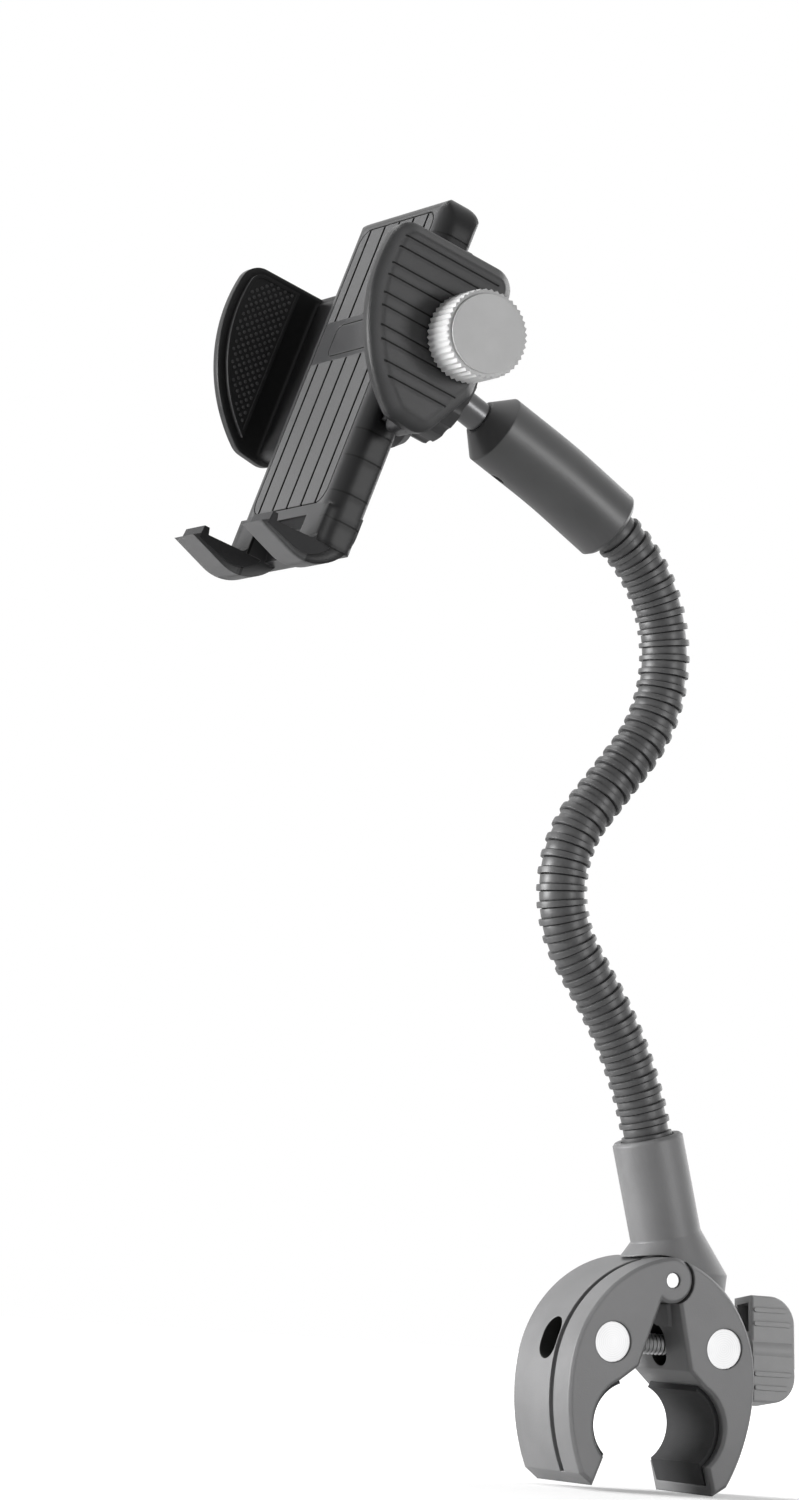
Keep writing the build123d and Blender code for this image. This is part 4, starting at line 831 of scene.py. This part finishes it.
# Studio: a pale floor under the clamp, a surround that is white behind the object and in its gloss and
# lights it faintly, broad lamps at the left, in front, overhead and behind, and the camera where the
# object was seen from. Lengths are in metres.
white = (1.0, 1.0, 1.0, 1.0)
floor_half = 3.0
floor_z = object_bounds()[0][2]
floor_mesh = bpy.data.meshes.new("floor")
floor_mesh.from_pydata(
    [(-floor_half, -floor_half, floor_z), (floor_half, -floor_half, floor_z),
     (floor_half, floor_half, floor_z), (-floor_half, floor_half, floor_z)],
    [], [(0, 1, 2, 3)],
)
floor = bpy.data.objects.new("floor", floor_mesh)
bpy.context.scene.collection.objects.link(floor)
floor_paint = new_finish("pale_floor", colour=(0.86, 0.86, 0.86), roughness=0.8)
floor_tree = floor_paint.node_tree
shader_of(floor_paint).inputs["Emission Color"].default_value = white
# The glow for the camera is faint near the object, so that its shadow shows, and full far off.
shadow_glow, shadow_reach, white_reach = 0.2, 0.15, 0.7
floor_path = floor_tree.nodes.new("ShaderNodeLightPath")
floor_place = floor_tree.nodes.new("ShaderNodeVectorMath")
floor_place.operation = "LENGTH"
join(floor_tree, surface_place(floor_tree), floor_place.inputs[0])
far_off = ramp(floor_tree, floor_place.outputs["Value"], shadow_reach, white_reach)
glow = scaled_up(floor_tree, far_off, 1.0 - shadow_glow, shadow_glow)
floor_glow = math_node(floor_tree, "MULTIPLY", floor_path.outputs["Is Camera Ray"], glow)
join(floor_tree, floor_glow, shader_of(floor_paint).inputs["Emission Strength"])
floor.data.materials.append(floor_paint)

world = bpy.data.worlds.new("studio")
bpy.context.scene.world = world
world.use_nodes = True
sky = world.node_tree
sky.nodes.clear()


def white_background(strength):
    """A white background of this strength, for the world; gives back its output."""
    node = sky.nodes.new("ShaderNodeBackground")
    node.inputs["Color"].default_value = white
    node.inputs["Strength"].default_value = strength
    return node.outputs["Background"]


fill_strength, seen_strength = 0.16, 1.0
sky_out = sky.nodes.new("ShaderNodeOutputWorld")
sky_path = sky.nodes.new("ShaderNodeLightPath")
sky_mix = sky.nodes.new("ShaderNodeMixShader")
seen = math_node(sky, "MAXIMUM", sky_path.outputs["Is Camera Ray"], sky_path.outputs["Is Transmission Ray"])
seen = math_node(sky, "MAXIMUM", seen, sky_path.outputs["Is Glossy Ray"])
join(sky, seen, sky_mix.inputs["Fac"])
join(sky, white_background(fill_strength), sky_mix.inputs[1])
join(sky, white_background(seen_strength), sky_mix.inputs[2])
join(sky, sky_mix.outputs["Shader"], sky_out.inputs["Surface"])


def place_in_studio(thing, right, up, back, place):
    """Puts a lamp or a camera at a place: its matrix has the three directions and the place as columns."""
    columns = np.column_stack([right, up, back, place])
    thing.matrix_world = Matrix(np.vstack([columns, [0, 0, 0, 1]]).tolist())
    bpy.context.scene.collection.objects.link(thing)


def soft_lamp(name, place, size, power, aim=(-0.05, 0.0, 0.13)):
    """A square area lamp at a place, turned to a point, which is the middle of the object.
    Its right is square to the upright and to its own back, and its up is square to both."""
    data = bpy.data.lights.new(name, "AREA")
    data.shape = "SQUARE"
    data.size = size
    data.energy = power
    back = np.array(place) - np.array(aim)
    back = back / np.linalg.norm(back)
    right = np.cross((0.0, 0.0, 1.0), back)
    right = right / np.linalg.norm(right)
    place_in_studio(bpy.data.objects.new(name, data), right, np.cross(back, right), back, place)


soft_lamp("left_softbox", place=(-1.16, 0.45, 0.2), size=0.5, power=27.0)
soft_lamp("front_softbox", place=(0.53, -1.21, 0.24), size=0.35, power=6.8)
soft_lamp("top_softbox", place=(-0.45, 0.45, 1.2), size=0.5, power=7.0)
soft_lamp("back_softbox", place=(1.15, 0.5, 0.45), size=1.0, power=7.0)

picture_height, focal_pixels, sensor_height = 1500.0, 5600.0, 36.0
camera_right = np.array([0.886935, -0.456616, 0.069624])
camera_down = np.array([0.105782, 0.054074, -0.992918])
camera_forward = np.array([0.449618, 0.888019, 0.096262])
camera_place = np.array([-0.645469, -1.121771, 0.026283])
camera_data = bpy.data.cameras.new("camera")
camera_data.sensor_fit = "VERTICAL"
camera_data.sensor_height = sensor_height
camera_data.lens = focal_pixels / picture_height * sensor_height
camera_data.clip_start = 0.05
camera = bpy.data.objects.new("camera", camera_data)
place_in_studio(camera, camera_right, -camera_down, -camera_forward, camera_place)
bpy.context.scene.camera = camera
bpy.context.scene.view_settings.view_transform = "Standard"
